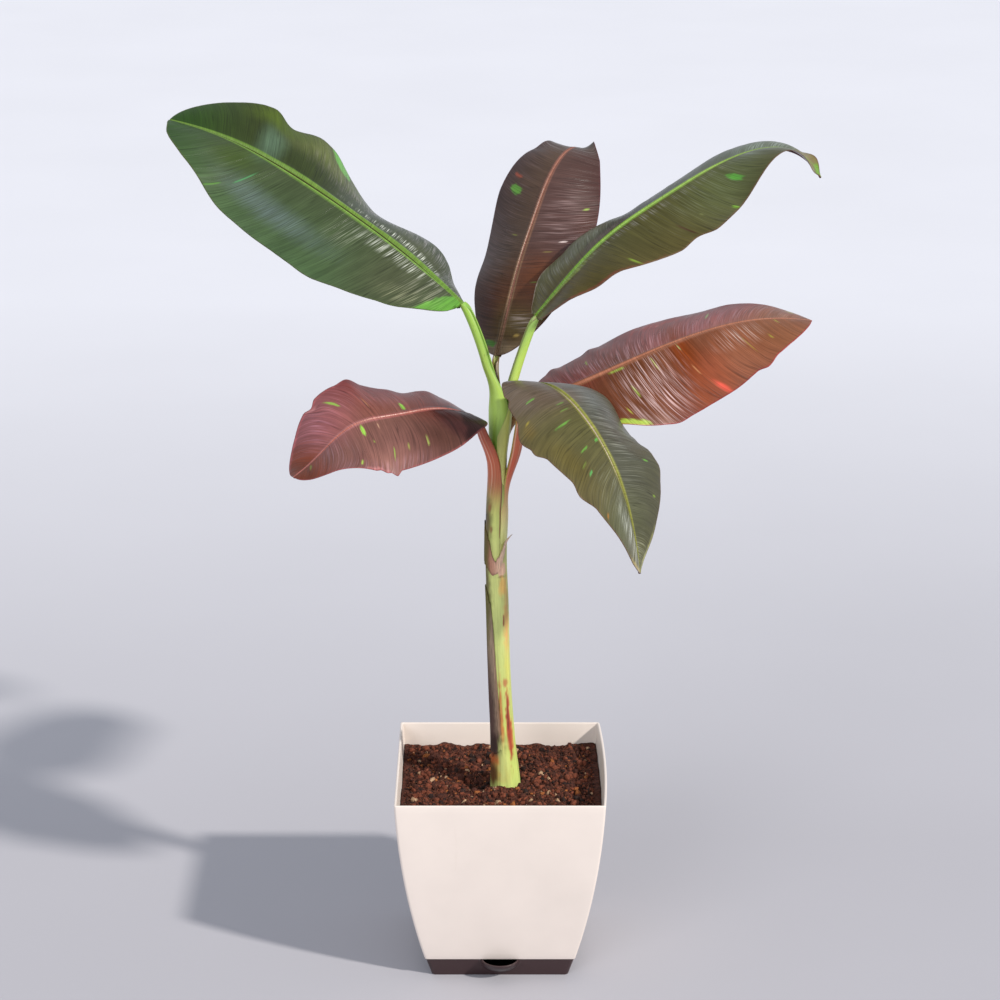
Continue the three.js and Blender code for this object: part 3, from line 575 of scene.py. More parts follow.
                   (0.96, 1.0, 26, 5, 0xa09050, 0.6), (0.95, -1.0, 34, 5, 0x909058, 0.6)],
        "painted_sheens": [(0.3, -0.5, 60, 30, 0x8c8c90, 0.24), (0.82, 0.4, 26, 13, 0xd8dcd6, 0.75),
                   (0.14, 0.6, 40, 50, 0x94888a, 0.08), (0.66, 0.35, 26, 26, 0x949a8c, 0.24),
                   (0.9, -0.3, 14, 10, 0xa8aa98, 0.3), (0.5, -0.3, 60, 14, 0x7e8074, 0.2)],
        "flecks": [(0.218, 0.64, 0.9, 7, 0x5c8c3c, 0.3), (0.26, 0.24, 0.7, 6, 0x5c8038, 0.4),
                   (0.292, 0.23, 0.7, 5, 0x5c7838, 0.5), (0.348, 0.38, 0.9, 10, 0x5c8a3a, 0.3),
                   (0.445, 0.07, 1.6, 3, 0x549040, 0.4), (0.46, 0.39, 1.0, 7, 0x5c9038, 0.3),
                   (0.508, 0.61, 0.7, 5, 0x6a7a34, 0.5), (0.538, 0.6, 1.4, 3.6, 0x4f904c, 0.3),
                   (0.57, -0.7, 1.4, 3.2, 0x5c9038, 0.3), (0.702, -0.76, 1.3, 2.4, 0x6c8430, 0.4),
                   (0.3, 0.85, 1.1, 3, 0x807430, 0.4), (0.67, 0.88, 1.2, 3, 0x8a6028, 0.5)],
    },
}

# How each blade ripples: the length and the height of its margin's waves, and a seed.
RIPPLES = {
    "upper_left": (36, 2.4, 5), "upper_right": (40, 2.2, 6), "back": (30, 2.4, 7),
    "right": (34, 2.6, 8), "front_left": (30, 2.4, 9), "front_right": (32, 2.6, 10),
}


def direction(heading, pitch):
    """The way that a heading from +X and a pitch above level point, both in degrees."""
    level = np.cos(np.radians(pitch))
    return np.stack([level * np.cos(np.radians(heading)), level * np.sin(np.radians(heading)),
                     np.sin(np.radians(pitch))], -1)


def rib_direction(leaf, share):
    return direction(smooth(leaf["heading"], share), smooth(leaf["pitch"], share))


def rib_frames(leaf, share):
    """Points of the midrib with its along, right and up axes, for an array of shares."""
    marks = np.linspace(0, 1, RIB_MARKS + 1)
    strides = rib_direction(leaf, (marks[:-1] + marks[1:]) / 2) * leaf["length"] / RIB_MARKS
    start = np.array(leaf["base"]) + GAP * rib_direction(leaf, 0)
    walk = start + np.vstack([np.zeros(3), np.cumsum(strides, 0)])
    points = np.stack([np.interp(share, marks, walk[:, k]) for k in range(3)], -1)
    along = rib_direction(leaf, share)
    right = unit(np.cross(along, Z_AXIS))
    return points, along, right, np.cross(right, along)


def half_width(leaf, share):
    """Half the width of the blade where its midrib has come to a share of its length."""
    widest = leaf["widest"]
    in_base = share < widest
    away = np.where(in_base, 1 - share / widest, (share - widest) / (1 - widest))
    blunt = np.where(in_base, *leaf["blunt"])
    body = leaf["half"] * np.maximum(0, 1 - away**2) ** blunt
    return np.maximum(body, lerp(leaf["stalk"][2], LEAF_TIP, share))


def rib_half_width(leaf, share):
    return np.minimum(smooth(leaf["rib"], share), half_width(leaf, share) * 0.75)


def lobe_shift(leaf, share, across):
    """How far the lobes and notches of the margin push a point outward and up."""
    outward, lift = np.zeros_like(across), np.zeros_like(across)
    for side, centre, reach, out, up in leaf["lobes"]:
        cover = (1 - ease(0, 1, np.abs(share - centre) / reach)) * (across * side > 0)
        outward = outward + cover * out * np.abs(across)
        lift = lift + cover * up * across**2
    return outward, lift


def vein_share(leaf, start, across):
    """How far along the blade a side vein has come at a place across it. It leaves the midrib at
    `start` and bends towards the tip."""
    out = np.abs(across)
    reach = np.minimum(half_width(leaf, start), 2 * (1 - start) * leaf["length"])
    return np.minimum(start + reach / leaf["length"] * (VEIN_LEAN * out + VEIN_BEND * out**3), 1)


def vein_start(leaf, share, across):
    """Where the side vein through a place leaves the midrib."""
    starts = np.linspace(0, 1, RIB_MARKS + 1)
    return np.interp(share, vein_share(leaf, starts, across), starts)


def vein_folds(place, across, seed):
    """Uneven folds that run out along the side veins, from about -1 to 1. `place` is where the vein
    leaves the midrib, in mm."""
    out = np.abs(across)
    row = 9.7 + 6 * (across > 0)
    return (0.6 * value_noise(place / 7.5, out * 0.8 + row, seed)
            + 0.4 * value_noise(place / 3.4, out * 1.2 + row, seed + 1))


def blade_columns(leaf, start):
    """How far out each column lies, from -1 at the left margin to 1 at the right one."""
    rib = rib_half_width(leaf, start) / half_width(leaf, start)
    inner = rib * np.arange(RIB_COLUMNS) / RIB_COLUMNS
    steps = np.linspace(0, 1, BLADE_COLUMNS + 1)
    outer = lerp(rib, 1, 1 - (1 - steps) ** 1.15)       # a little closer at the margin
    side = np.hstack([inner, outer])
    return np.hstack([-side[:, :0:-1], side])


def relief(leaf, start, across, share, half, rib):
    """Height of the side veins' folds, the midrib's groove and the waves of the margin."""
    wave, ruffle, seed = leaf["ripple"]
    out = np.abs(across)
    from_rib = out * half - rib
    folds = FOLD * vein_folds(start * leaf["length"], across, seed) * ease(0, 8, from_rib)
    folds = folds * (1 - 0.5 * out**3)
    side = np.where(across > 0, 11.3, 3.7)
    waves = value_noise(share * leaf["length"] / wave, side, seed + 2) * ruffle
    waves = waves * out**2.5 * ease(0.03, 0.15, share) * ease(0, 0.12, 1 - share)
    inside = np.clip(out * half / np.maximum(rib, 0.1), 0, 1)
    groove = -GROOVE * rib * (1 - inside**2)
    lip = LIP * rib * np.exp(-((inside - 0.8) / 0.22) ** 2) * (from_rib < 3)
    return folds + waves + groove + lip


def blade_sheet(leaf, start, across, share, half, rib):
    """The upper face of a blade, a row of points for each side vein."""
    points, along, right, up = rib_frames(leaf, share)
    out = np.abs(across)
    tilt = np.where(across > 0, smooth(leaf["right"], share), smooth(leaf["left"], share))
    curl = math.radians(CURL)
    inner = np.radians(tilt + CURL / 2)
    outer = inner - curl * out
    sideways = half * (np.sin(inner) - np.sin(outer)) / curl
    rise = half * (np.cos(outer) - np.cos(inner)) / curl
    lag = half * out * np.tan(np.radians(lerp(*leaf["sweep"], share)))
    outward, lift = lobe_shift(leaf, share, across)
    sideways = sideways + outward * np.cos(outer)
    rise = rise + outward * np.sin(outer) + lift + relief(leaf, start, across, share, half, rib)
    return (points + right * (np.sign(across) * sideways)[..., None] + up * rise[..., None]
            + along * lag[..., None])


def sheet_normals(sheet):
    return unit(np.cross(np.gradient(sheet, axis=1), np.gradient(sheet, axis=0)))


def blade_tint(leaf, tints, start, across, share, half, rib):
    """The colour of each point of a blade's upper face."""
    size = leaf["length"], half
    out = np.abs(across)
    halves = [lerp(colour(inner), colour(outer), (out**1.4)[..., None])
              for inner, outer in (tints["left"], tints["right"])]
    tone = np.where((across > 0)[..., None], halves[1], halves[0])
    tone = lerp(tone, colour(tints["tip"]), ease(0.72, 1, share)[..., None])
    tone = tint_patches(tone, tints["washes"], share, across, *size)
    flecks = [(vein_start(leaf, at, side), side, *rest) for at, side, *rest in tints["flecks"]]
    tone = tint_patches(tone, flecks, start, across, *size)
    edge = ease(1 - 1.8 / half, 1 - 0.6 / half, out)
    tone = lerp(tone, colour(tints["edge"]), edge[..., None])
    on_rib = across * half / np.maximum(rib, 0.1)
    foot, end = (colour(code) for code in tints["rib"])
    rib_tone = lerp(foot, end, ease(0.1, 0.8, share)[..., None])
    for centre, reach, code in tints["lines"]:
        cover = 1 - ease(0.6 * reach, 1.3 * reach, np.abs(on_rib - centre))
        rib_tone = lerp(rib_tone, colour(code), (cover * ease(0.02, 0.2, share))[..., None])
    return lerp(rib_tone, tone, ease(1.0, 1.2, np.abs(on_rib))[..., None])


def blade_painted_sheen(leaf, tints, across, share, half, rib):
    """Painted sheen: highlights between the veins painted into the colour, which the material breaks up
    into streaks.
    """
    painted_sheen = np.zeros((*across.shape, 3))
    for at_share, at_across, long, wide, code, strength in tints["painted_sheens"]:
        at, size = (at_share, at_across), (long, wide)
        cover = patch_cover(at, size, 0.9, share, across, leaf["length"], half) * strength
        painted_sheen = painted_sheen + colour(code) * cover[..., None]
    return painted_sheen * ease(0, 1, np.abs(across) * half - rib)[..., None]


def under_tint(tints, across, share, half, rib):
    """The plainer colour of each point of a blade's under face."""
    inside = np.abs(across) * half / rib
    inner, outer = (colour(code) for code in tints["under"])
    tone = lerp(inner, outer, (np.abs(across) ** 1.5)[..., None])
    rib_tone = lerp(colour(tints["rib"][0]), inner, ease(0.1, 0.7, share)[..., None])
    return lerp(rib_tone, tone, ease(0.9, 1.3, inside)[..., None])


def make_blade(name, leaf, tints, material, slot):
    """A blade with the folds along its side veins and a midrib that stands out below."""
    start = np.linspace(0, 1, STEPS + 1)[:, None]        # where each side vein leaves the midrib
    across = blade_columns(leaf, start)
    share = vein_share(leaf, start, across)
    half, rib = half_width(leaf, share), rib_half_width(leaf, share)
    top = blade_sheet(leaf, start, across, share, half, rib)
    reach = np.clip(np.abs(across) * half / rib, 0, 1)
    keel = KEEL * rib * np.sqrt(1 - reach**2)
    depth = THICK * lerp(1, 0.5, np.abs(across) ** 4) + keel
    under = top - sheet_normals(top) * depth[..., None]
    ob = slab(f"blade_{name}", top, under)
    tint = blade_tint(leaf, tints, start, across, share, half, rib)
    store(ob, "Tint", tint, under_tint(tints, across, share, half, rib))
    # a painted highlight and sheen for the upper face, none for the under face
    painted_sheen = blade_painted_sheen(leaf, tints, across, share, half, rib)
    store(ob, "PaintedSheen", painted_sheen, 0 * painted_sheen)
    seat = np.stack([start * leaf["length"] + 0 * across, across * half, 0 * across], -1)
    store(ob, "Blade", seat, seat + UNDER_SHIFT * Z_AXIS)
    map_blade(ob, across)
    finish_piece(ob, slot, material, node=f"leaf_{name}")


STRIP = 0.23              # half the height of each face's strip of the map


def map_blade(ob, across):
    """The upper face fills the lower half of the map and the under face the upper half."""
    rows, columns = across.shape
    index = corners(ob)
    count = rows * columns
    i, side = index % count // columns, across.ravel()[index % count]
    low = index < count
    quads = 2 * (rows - 1) * (columns - 1)
    rim = np.arange(len(index)) >= 4 * quads
    v = np.where(low | rim, 0.25 + STRIP * side, 0.75 - STRIP * side)
    v = v + np.where(rim & ~low, 0.012 * np.sign(side), 0)
    store_map(ob, inset(i / (rows - 1)), v)


# ---------------------------------------------------------------- trunk


def stem_share(z):
    return (z - STEM["foot"]) / (STEM["fork"] - STEM["foot"])


def stem_radius(z):
    return smooth(STEM["radius"], stem_share(z))


def stem_centre(z):
    return np.stack([smooth(STEM["sway"], stem_share(z)), 0 * z, z], -1)


def round_stem(z, turn, radius):
    """Points at a radius from the middle of the trunk, which is a little flatter across Y."""
    ring = [radius * np.cos(turn), radius * STEM["flat"] * np.sin(turn), 0 * turn]
    return stem_centre(z) + np.stack(ring, -1)


def turn_round_stem(points):
    """The turn of each point about the trunk, in degrees from +X."""
    out = points - stem_centre(points[..., 2])
    return np.degrees(np.arctan2(out[..., 1] / STEM["flat"], out[..., 0])) % 360


def wrap_degrees(angle):
    """The angle brought to between -180 and 180."""
    return (angle + 180) % 360 - 180


STEM_ROWS, STEM_COLUMNS = 330, 100
BURIED, HIDDEN_TOP = 4, 20          # how far the trunk runs on, under its foot and above its fork
DOME = 32                           # height over which its top rounds off

# Colours of the trunk from the soil up, then its stains and painted shade: (turn in degrees from +X,
# height, half width in mm, half height, colour, softness). They go on over the sheaths and the scraps.
# the middle colours of the trunk are lightened as painted light where the blades' shadow falls on it
STEM_TONES = [0xbccc74, 0xb4c064, 0xb2ba68, 0xb2bc70, 0xcad27e, 0xc8cc7c, 0xc4cc72, 0xb0c060, 0x86b04c]
STEM_STAINS_AND_SHADE = [
    # the two dark patches on the left at 198 and 196 degrees are partly brown mottling and partly
    # painted shade on the side away from the sun
    (198, 552, 9, 42, 0x60522a, 0.6), (196, 470, 8, 60, 0x625c2c, 0.6),
    (200, 300, 10, 70, 0x4e3630, 0.6), (188, 560, 3.4, 8, 0x1c1412, 0.4),
    (228, 272, 12, 15, 0x341f1a, 0.6), (216, 250, 11, 8, 0xa8501e, 0.7),
    (252, 238, 8, 11, 0xb8a050, 0.7), (206, 234, 7, 14, 0x523414, 0.6),
    (319, 285, 2.2, 22, 0xb8763c, 0.5), (305, 300, 2.7, 46, 0x9c4028, 0.3),
    (303, 312, 1.0, 24, 0x6c2c1c, 0.5), (270, 312, 1.6, 42, 0xb0723c, 0.6),
    (304, 498, 5, 8, 0xf0c4a4, 0.25), (304, 489.5, 5, 0.8, 0x6a4430, 0.5),
    (306, 477, 5.4, 11, 0xf0c46c, 0.45), (322, 430, 4, 45, 0xc8a05c, 0.8),
    (318, 372, 4, 24, 0xbcbc60, 0.8), (301, 432, 1.1, 7, 0x8a4a2c, 0.4),
    (284, 250, 2.4, 22, 0xc4cc78, 0.8), (300, 354, 3, 5, 0xa87444, 0.6),
    (262, 250, 3, 24, 0xb5bc72, 0.8), (286, 560, 0.7, 22, 0x8a5c34, 0.6),
    (228, 575, 2.4, 5, 0x8c6438, 0.5), (240, 548, 1.6, 4, 0x8c7040, 0.5),
]


def make_stem(material):
    """The trunk from under the soil's surface to a rounded top among the stalks."""
    levels = np.linspace(STEM["foot"] - BURIED, STEM["fork"] + HIDDEN_TOP, STEM_ROWS)
    turns = np.linspace(0, 2 * np.pi, STEM_COLUMNS + 1)[:-1]
    z, turn = np.meshgrid(levels, turns, indexing="ij")
    degrees = np.degrees(turn)
    dome = np.sqrt(np.clip((STEM["fork"] + HIDDEN_TOP + 1 - z) / DOME, 0.03, 1))
    ribs = 0.12 * np.sin(turn * 26 + 0.8 * np.sin(z / 70)) + 0.22 * value_noise(turn * 7, z / 60, 8)
    pits = 0.10 * value_noise(turn * 14, z / 9, 12)
    # two old sheaths overlap the trunk: each edge winds up it and stands a little proud
    first = ease(0, 5, wrap_degrees(degrees - 246 - 26 * np.sin((z - SOIL_TOP) / 160))) * 0.6
    second = ease(0, 5, wrap_degrees(degrees - 84 - 0.05 * (z - SOIL_TOP))) * 0.5
    points = round_stem(z, turn, stem_radius(z) * dome + ribs + pits + first + second - 0.5)
    ob = loft("trunk", [points])
    tone = graded(STEM_TONES, (z - levels[0]) / (levels[-1] - levels[0]))
    store(ob, "Tint", tint_patches(tone, STEM_STAINS_AND_SHADE, degrees, z, SKIN_SCALE))
    store(ob, "Skin", np.stack([degrees * SKIN_SCALE, z, 0 * z], -1))
    map_tube(ob, STEM_ROWS, STEM_COLUMNS)
    finish_piece(ob, "stem", material, node="pseudostem")


# ---------------------------------------------------------------- leaf stalks

OUTER, INNER = 70, 24     # points round the back of a stalk's section and along its channel
ROUND_BACK = np.concatenate([np.linspace(-1, 1, OUTER), np.linspace(1, -1, INNER)])
STALK_ROWS, SHEATH_ROWS = 66, 30    # rings along a stalk and along the sheath at its foot
WALL = 0.16               # of a stalk's channel, in units of its radius

# How each stalk's base wraps the trunk. It runs `deep` down the trunk and reaches round it, in degrees
# to the right and left of its heading, by `high` from the level `top` up and by `low` from `slant`
# below that. It lies `thick` and lets go of the trunk over the share `free` of the stalk. `back` holds
# the colours from its foot to the blade, `lip` that of its edges and where they start, and `lines`
# the pale lines along it: (place across the back from -1 to 1, half width, colour).
SHEATHS = {
    "upper_left": {
        "deep": 120, "low": (110, 150), "high": (60, 158), "top": 703, "slant": 38, "thick": 1,
        "free": (0, 0.34), "lip": (0x86a848, 0.9), "channel": 0x84b04c, "lines": [],
        # the fourth colour of back is lightened as painted light where the blades' shadow falls
        "back": [0xc0c470, 0x98ac48, 0x80a83a, 0xa4c45c, 0x90aa4a, 0x90b04a, 0x8ab040],
    },
    "upper_right": {
        "deep": 90, "low": (92, 100), "high": (18, 60), "top": 704, "slant": 40, "thick": 1.6,
        "free": (0.08, 0.3), "lip": (0x7c8044, 0.95), "channel": 0x8cb450,
        # the first two colours of back are lightened as painted light where the blades' shadow falls
        "lines": [(0.5, 0.3, 0xd4c47c)], "back": [0xd4d880, 0xd4d878, 0xb4c468, 0xb4d060, 0xa2c862],
    },
    "back": {
        "deep": 60, "low": (80, 80), "high": (50, 50), "top": 690, "slant": 30, "thick": 0.8,
        "free": (-0.05, 0.42), "lip": (0x604a2c, 0.8), "channel": 0x7c8038, "lines": [],
        "back": [0x8a8a48, 0x76742e, 0x6c5c2e],
    },
    "right": {
        "deep": 60, "low": (70, 70), "high": (44, 44), "top": 636, "slant": 30, "thick": 1.4,
        "free": (-0.05, 0.42), "lip": (0x8a5a42, 0.86), "channel": 0xa8764e, "lines": [],
        "back": [0xa6ae5c, 0x9a8450, 0xa8744c],
    },
    "front_left": {
        "deep": 67, "low": (120, 70), "high": (60, 95), "top": 632, "slant": 62, "thick": 1.3,
        "free": (0.08, 0.62), "lip": (0x8a4a3a, 0.93), "channel": 0x9a5844,
        "lines": [(0.2, 0.03, 0xf0c8b0), (-0.1, 0.02, 0xd08c74), (0.42, 0.02, 0xd8a080)],
        # the red colours of back are lightened as painted light where the blades' shadow falls on the
        # sheath
        "back": [0xc8ce7c, 0xc8d07a, 0xccd074, 0xbc7c50, 0xd06c4a, 0xc4644a, 0xa85440],
    },
    "front_right": {
        "deep": 42, "low": (28, 120), "high": (12, 60), "top": 634, "slant": 50, "thick": 1.2,
        "free": (-0.05, 0.36), "lip": (0xa09848, 0.62), "channel": 0xa8604c,
        "lines": [(-0.5, 0.05, 0xe8c8a8), (-0.05, 0.03, 0xd8a080), (0.3, 0.03, 0xc88468)],
        # the first two colours of back are lightened as painted light where the blades' shadow falls
        "back": [0xdce494, 0xe0c884, 0xcc6a48, 0xc86848, 0xb45a44, 0xa04c3e],
    },
}


def channel_section(opened):
    """A stalk's section in units of its radius, as a channel that opens towards the blade."""
    lip = np.radians(lerp(62, 4, opened))
    turn = np.linspace(lip, -np.pi - lip, OUTER)
    outer = np.stack([np.cos(turn), np.sin(turn) * STALK_FLAT], -1)
    place = np.linspace(-1, 1, INNER)
    floor, top = lerp(-0.15, -0.3, opened), np.sin(lip) * STALK_FLAT
    inner = [(np.cos(lip) - WALL) * place, lerp(floor, top, np.abs(place) ** 2.2)]
    return np.vstack([outer, np.stack(inner, -1)])


def sheath_ring(z, heading, wrap, thick):
    """The same points laid round the trunk's skin, from the right-hand edge to the left-hand one."""
    right, left = heading - wrap[0], heading + wrap[1]
    turn = np.concatenate([np.linspace(right, left, OUTER), np.linspace(left, right, INNER)])
    lift = np.repeat([thick, -1.0], [OUTER, INNER])
    thinned = 0.5 * thick * np.abs(ROUND_BACK) ** 6                 # towards both edges
    return round_stem(z, np.radians(turn), stem_radius(z) + lift - thinned)


def bezier(controls, t):
    """A point of a curve with its direction."""
    a, b, c, d = controls
    point = (1 - t) ** 3 * a + 3 * t * (1 - t) ** 2 * b + 3 * t * t * (1 - t) * c + t**3 * d
    tangent = (1 - t) ** 2 * (b - a) + 2 * t * (1 - t) * (c - b) + t * t * (d - c)
    return point, unit(tangent)


def sheath_wrap(sheath, z):
    """How far round the trunk a sheath reaches at one level, to its right and to its left."""
    down = min(max((sheath["top"] - z) / sheath["slant"], 0), 1)
    return [lerp(high, low, down) for high, low in zip(sheath["high"], sheath["low"])]


def make_stalk(name, leaf, sheath, material, slot):
    """One piece from the sheath that hugs the trunk up to the channelled stalk under the blade."""
    deep, thick = sheath["deep"], sheath["thick"]
    root, base = np.array(leaf["root"], float), np.array(leaf["base"], float)
    lean, end = unit(np.array(leaf["lean"], float)), rib_direction(leaf, np.array(0.0))
    controls = [root, root + lean * leaf["reach"][0], base - end * leaf["reach"][1], base]
    heading = math.degrees(math.atan2(base[1], base[0]))
    upright = np.cross(np.cross(end, Z_AXIS), end)
    rings, run = [], []
    for z in np.linspace(root[2] - deep, root[2], SHEATH_ROWS)[:-1]:
        share = (root[2] - z) / deep
        rings.append(sheath_ring(z, heading, sheath_wrap(sheath, z), thick * (1 - share) ** 0.5))
        run.append(z - root[2])
    for t in np.linspace(0, 1, STALK_ROWS):
        point, tangent = bezier(controls, t)
        right = unit(np.cross(tangent, upright))
        up = np.cross(right, tangent)
        section = channel_section(ease(0.75, 1, t)) * smooth(leaf["stalk"], t)
        stalk = point + section[:, :1] * right + section[:, 1:] * up
        z = min(point[2], STEM["fork"])
        hug = sheath_ring(z, heading, sheath_wrap(sheath, point[2]), thick)
        hug[:, 2] += point[2] - z
        rings.append(lerp(hug, stalk, ease(*sheath["free"], t)))
        run.append(point[2] - root[2])
    rings, run = np.array(rings), np.array(run)[:, None]
    ob = loft(f"petiole_{name}", [rings])
    store(ob, "Tint", stalk_tint(sheath, rings, (run - run[0]) / (run[-1] - run[0])))
    store(ob, "Skin", np.stack(np.broadcast_arrays(ROUND_BACK * 14, run, heading), -1))
    map_tube(ob, *rings.shape[:2])
    finish_piece(ob, slot, material, node=f"stalk_{name}")


def stalk_tint(sheath, rings, place):
    """Graded from foot to blade, with its channel, lips and pale lines, and the trunk's stains and
    painted shade.
    """
    tone = graded(sheath["back"], place) * np.ones((1, OUTER + INNER, 1))
    tone[:, OUTER:] = colour(sheath["channel"])
    lip, lip_start = sheath["lip"]
    rim = ease(lip_start - 0.06, lip_start + 0.06, np.abs(ROUND_BACK)) * ease(0.15, 0.4, place)
    tone = lerp(tone, colour(lip), rim[..., None])
    for at, reach, code in sheath["lines"]:
        line = np.exp(-((ROUND_BACK - at) / reach) ** 2) * ease(0.3, 0.6, place)
        tone = lerp(tone, colour(code), 0.75 * line[..., None])
    return tint_patches(tone, STEM_STAINS_AND_SHADE, turn_round_stem(rings), rings[..., 2], SKIN_SCALE)


# ---------------------------------------------------------------- dry scraps of old sheaths

# Angles round the trunk in degrees from +X, the heights of the lower and upper edge, how deep they
# are torn, how far the upper edge lifts off and the colours, each list from end to end.
SCRAPS = {
    "torn_collar": {
        "from": 165, "to": 324,
        "low": [514, 504, 497, 492, 500, 524], "high": [556, 548, 536, 511, 520, 545],
        "thick": 1.1, "tear": 3, "lift": [1.2, 0.8, 0.5, 0.5, 1.8, 9],
        "tones": [0x2c1c1c, 0x4c2e28, 0xa06c58, 0xc89880, 0xe8c4a8, 0xecccb0],
    },
    "dry_sheath": {
        "from": 150, "to": 266,
        "low": [290, 270, 260, 258, 264, 270], "high": [466, 474, 470, 462, 430, 310],
        "thick": 0.5, "tear": 6, "lift": [0.6, 0.4, 0.4, 0.4, 0.8],
        "tones": [0x3a2a28, 0x4c3a34, 0x84705c, 0x9c8670, 0x8c6a50],
    },
}


SCRAP_ROWS, SCRAP_COLUMNS = 90, 60
SCRAP_LIFT = 0.5                    # between the trunk's plain radius and a scrap's inner face


def make_scrap(name, scrap, material):
    """A torn strip round the trunk, ragged along both edges and curled off at the upper one."""
    share = np.linspace(0, 1, SCRAP_ROWS)[:, None]
    up = np.linspace(0, 1, SCRAP_COLUMNS)[None, :]
    low = smooth(scrap["low"], share) + 0.6 * value_noise(share * 20, 3.5, 32) * scrap["tear"]
    high = smooth(scrap["high"], share) + value_noise(share * 26, 0.5, 31) * scrap["tear"]
    z = lerp(low, high, up)
    degrees = lerp(scrap["from"], scrap["to"], share) + 0 * up
    curl = smooth(scrap["lift"], share) * up**2 * (0.7 + 0.6 * value_noise(share * 8, 1.5, 33))
    curl = curl + 0.25 * value_noise(share * 40, up * 3, 34)
    radius = stem_radius(z) + SCRAP_LIFT + np.maximum(curl, -0.3)
    outer, inner = (round_stem(z, np.radians(degrees), radius + thick) for thick in (scrap["thick"], 0))
    ob = slab(name, outer, inner)
    tone = graded(scrap["tones"], share) * np.ones((1, SCRAP_COLUMNS, 1))
    tone = tone * (1 - 0.35 * ease(0.6, 1, np.abs(2 * up - 1)))[..., None]
    tone = tint_patches(tone, STEM_STAINS_AND_SHADE, degrees, z, SKIN_SCALE)
    store(ob, "Tint", tone, tone)
    skin = np.stack([degrees * SKIN_SCALE, z, 0 * z], -1)
    store(ob, "Skin", skin, skin)
    finish_piece(ob, "dry_sheath", material, node=name)


# ---------------------------------------------------------------- planter, tray and soil

CORNER_STEPS, SIDE_STEPS = 10, 26   # points of a square ring's corner and side
MOUTH_STEPS, BESIDE_STEPS = 41, 14  # points round the filler mouth and on each side of it


def square_ring(half, corner, z, bow=0.0):
    """A square ring with rounded corners. The right-hand side may bow out."""
    straight = half - corner
    side_y = lerp(-straight, straight, np.arange(SIDE_STEPS) / SIDE_STEPS)
    side_x = half + bow * (1 - (side_y / straight) ** 2)
    angle = np.arange(CORNER_STEPS) / CORNER_STEPS * np.pi / 2
    bend = np.stack([straight + corner * np.cos(angle), straight + corner * np.sin(angle)], -1)
    ring = []
    for side in range(4):
        x = side_x if side == 0 else np.full(SIDE_STEPS, half)
        points = np.vstack([np.stack([x, side_y], -1), bend])
        c, s = math.cos(side * math.pi / 2), math.sin(side * math.pi / 2)
        ring.append(points @ np.array([[c, s], [-s, c]]))
    return at_level(np.vstack(ring), z)


def at_level(outline, z):
    return np.hstack([outline, np.full((len(outline), 1), z)])


def pot_ring(z, depth):
    """The planter's outline at one level, `depth` inside its outer face."""
    share = (z - POT_FOOT) / (POT["height"] - POT_FOOT)
    swell = POT["belly"] * 4 * share * (1 - share)
    half = lerp(POT["foot"], POT["top"], share) / 2 + swell - depth
    return square_ring(half, max(POT["corner"] - depth * 0.6, 0.6), z, POT["bow"] * share**2)


def vessel(name, ring, low, high, wall, floor, foot_round, rim_round, steps):
    """A skin up the outside of a vessel, over its rim and down the inside to its floor in so many
    steps. Its foot and rim are rounded by small radii."""
    turns = np.linspace(0, np.pi / 2, 6)
    foot = [(low + foot_round * (1 - math.cos(t)), foot_round * (1 - math.sin(t))) for t in turns]
    outside = [(z, 0) for z in np.linspace(low + foot_round, high - rim_round, 26)[1:-1]]
    outer_rim = [(high - rim_round * (1 - math.sin(t)), rim_round * (1 - math.cos(t))) for t in turns]
    inner_rim = [(z, wall - depth) for z, depth in outer_rim[::-1]]
    inside = [(z, wall) for z in np.linspace(high - rim_round, floor, steps)[1:]]
    profile = foot + outside + outer_rim + inner_rim + inside
    return loft(name, [np.array([ring(z, depth) for z, depth in profile])])


def make_pot(material):
    ob = vessel("planter", pot_ring, low=POT_FOOT, high=POT["height"], wall=POT["wall"],
                floor=POT_FOOT + POT["floor"], foot_round=1, rim_round=1.2, steps=14)
    finish_piece(ob, "pot_plastic", material, node="pot")


def tray_ring(z, depth):
    """The tray's outline at one level, with the round filler mouth bulging out of its front."""
    tray_half = lerp(TRAY["foot"], TRAY["top"], z / TRAY["height"]) / 2
    half = tray_half - depth
    ring = square_ring(half, max(TRAY["corner"] - depth / 2, 1), z)
    share = np.clip((z - SPOUT["foot"]) / (TRAY["height"] - SPOUT["foot"]), 0, 1)
    swell = math.sin(share * math.pi / 2)
    across = lerp(SPOUT["foot_width"], SPOUT["width"], swell) / 2 - depth
    root = TRAY["wall"] + 2
    deep = lerp(root, SPOUT["reach"] + root, swell) - depth
    centre = root - tray_half
    sink = min(max((centre + half) / max(deep, 0.1), -1), 1)
    if centre - deep < -half:
        turn = np.linspace(-math.acos(sink), math.acos(sink), MOUTH_STEPS)
        mouth = np.stack([across * np.sin(turn), centre - deep * np.cos(turn)], -1)
    else:
        mouth = np.stack([np.linspace(-4, 4, MOUTH_STEPS), np.full(MOUTH_STEPS, -half)], -1)
    front = (ring[:, 1] < -half + 1e-6) & (np.abs(ring[:, 0]) < half - TRAY["corner"] - 0.01)
    order = np.flatnonzero(front)
    steps = np.linspace(0, 1, BESIDE_STEPS)
    left = lerp(ring[order[0], 0], mouth[0, 0], steps[:-1])
    right = lerp(mouth[-1, 0], -ring[order[0], 0], steps[1:])
    before, after = (np.stack([x, np.full(len(x), -half)], -1) for x in (left, right))
    new = at_level(np.vstack([before, mouth, after]), z)
    return np.vstack([ring[:order[0]], new, ring[order[-1] + 1:]])


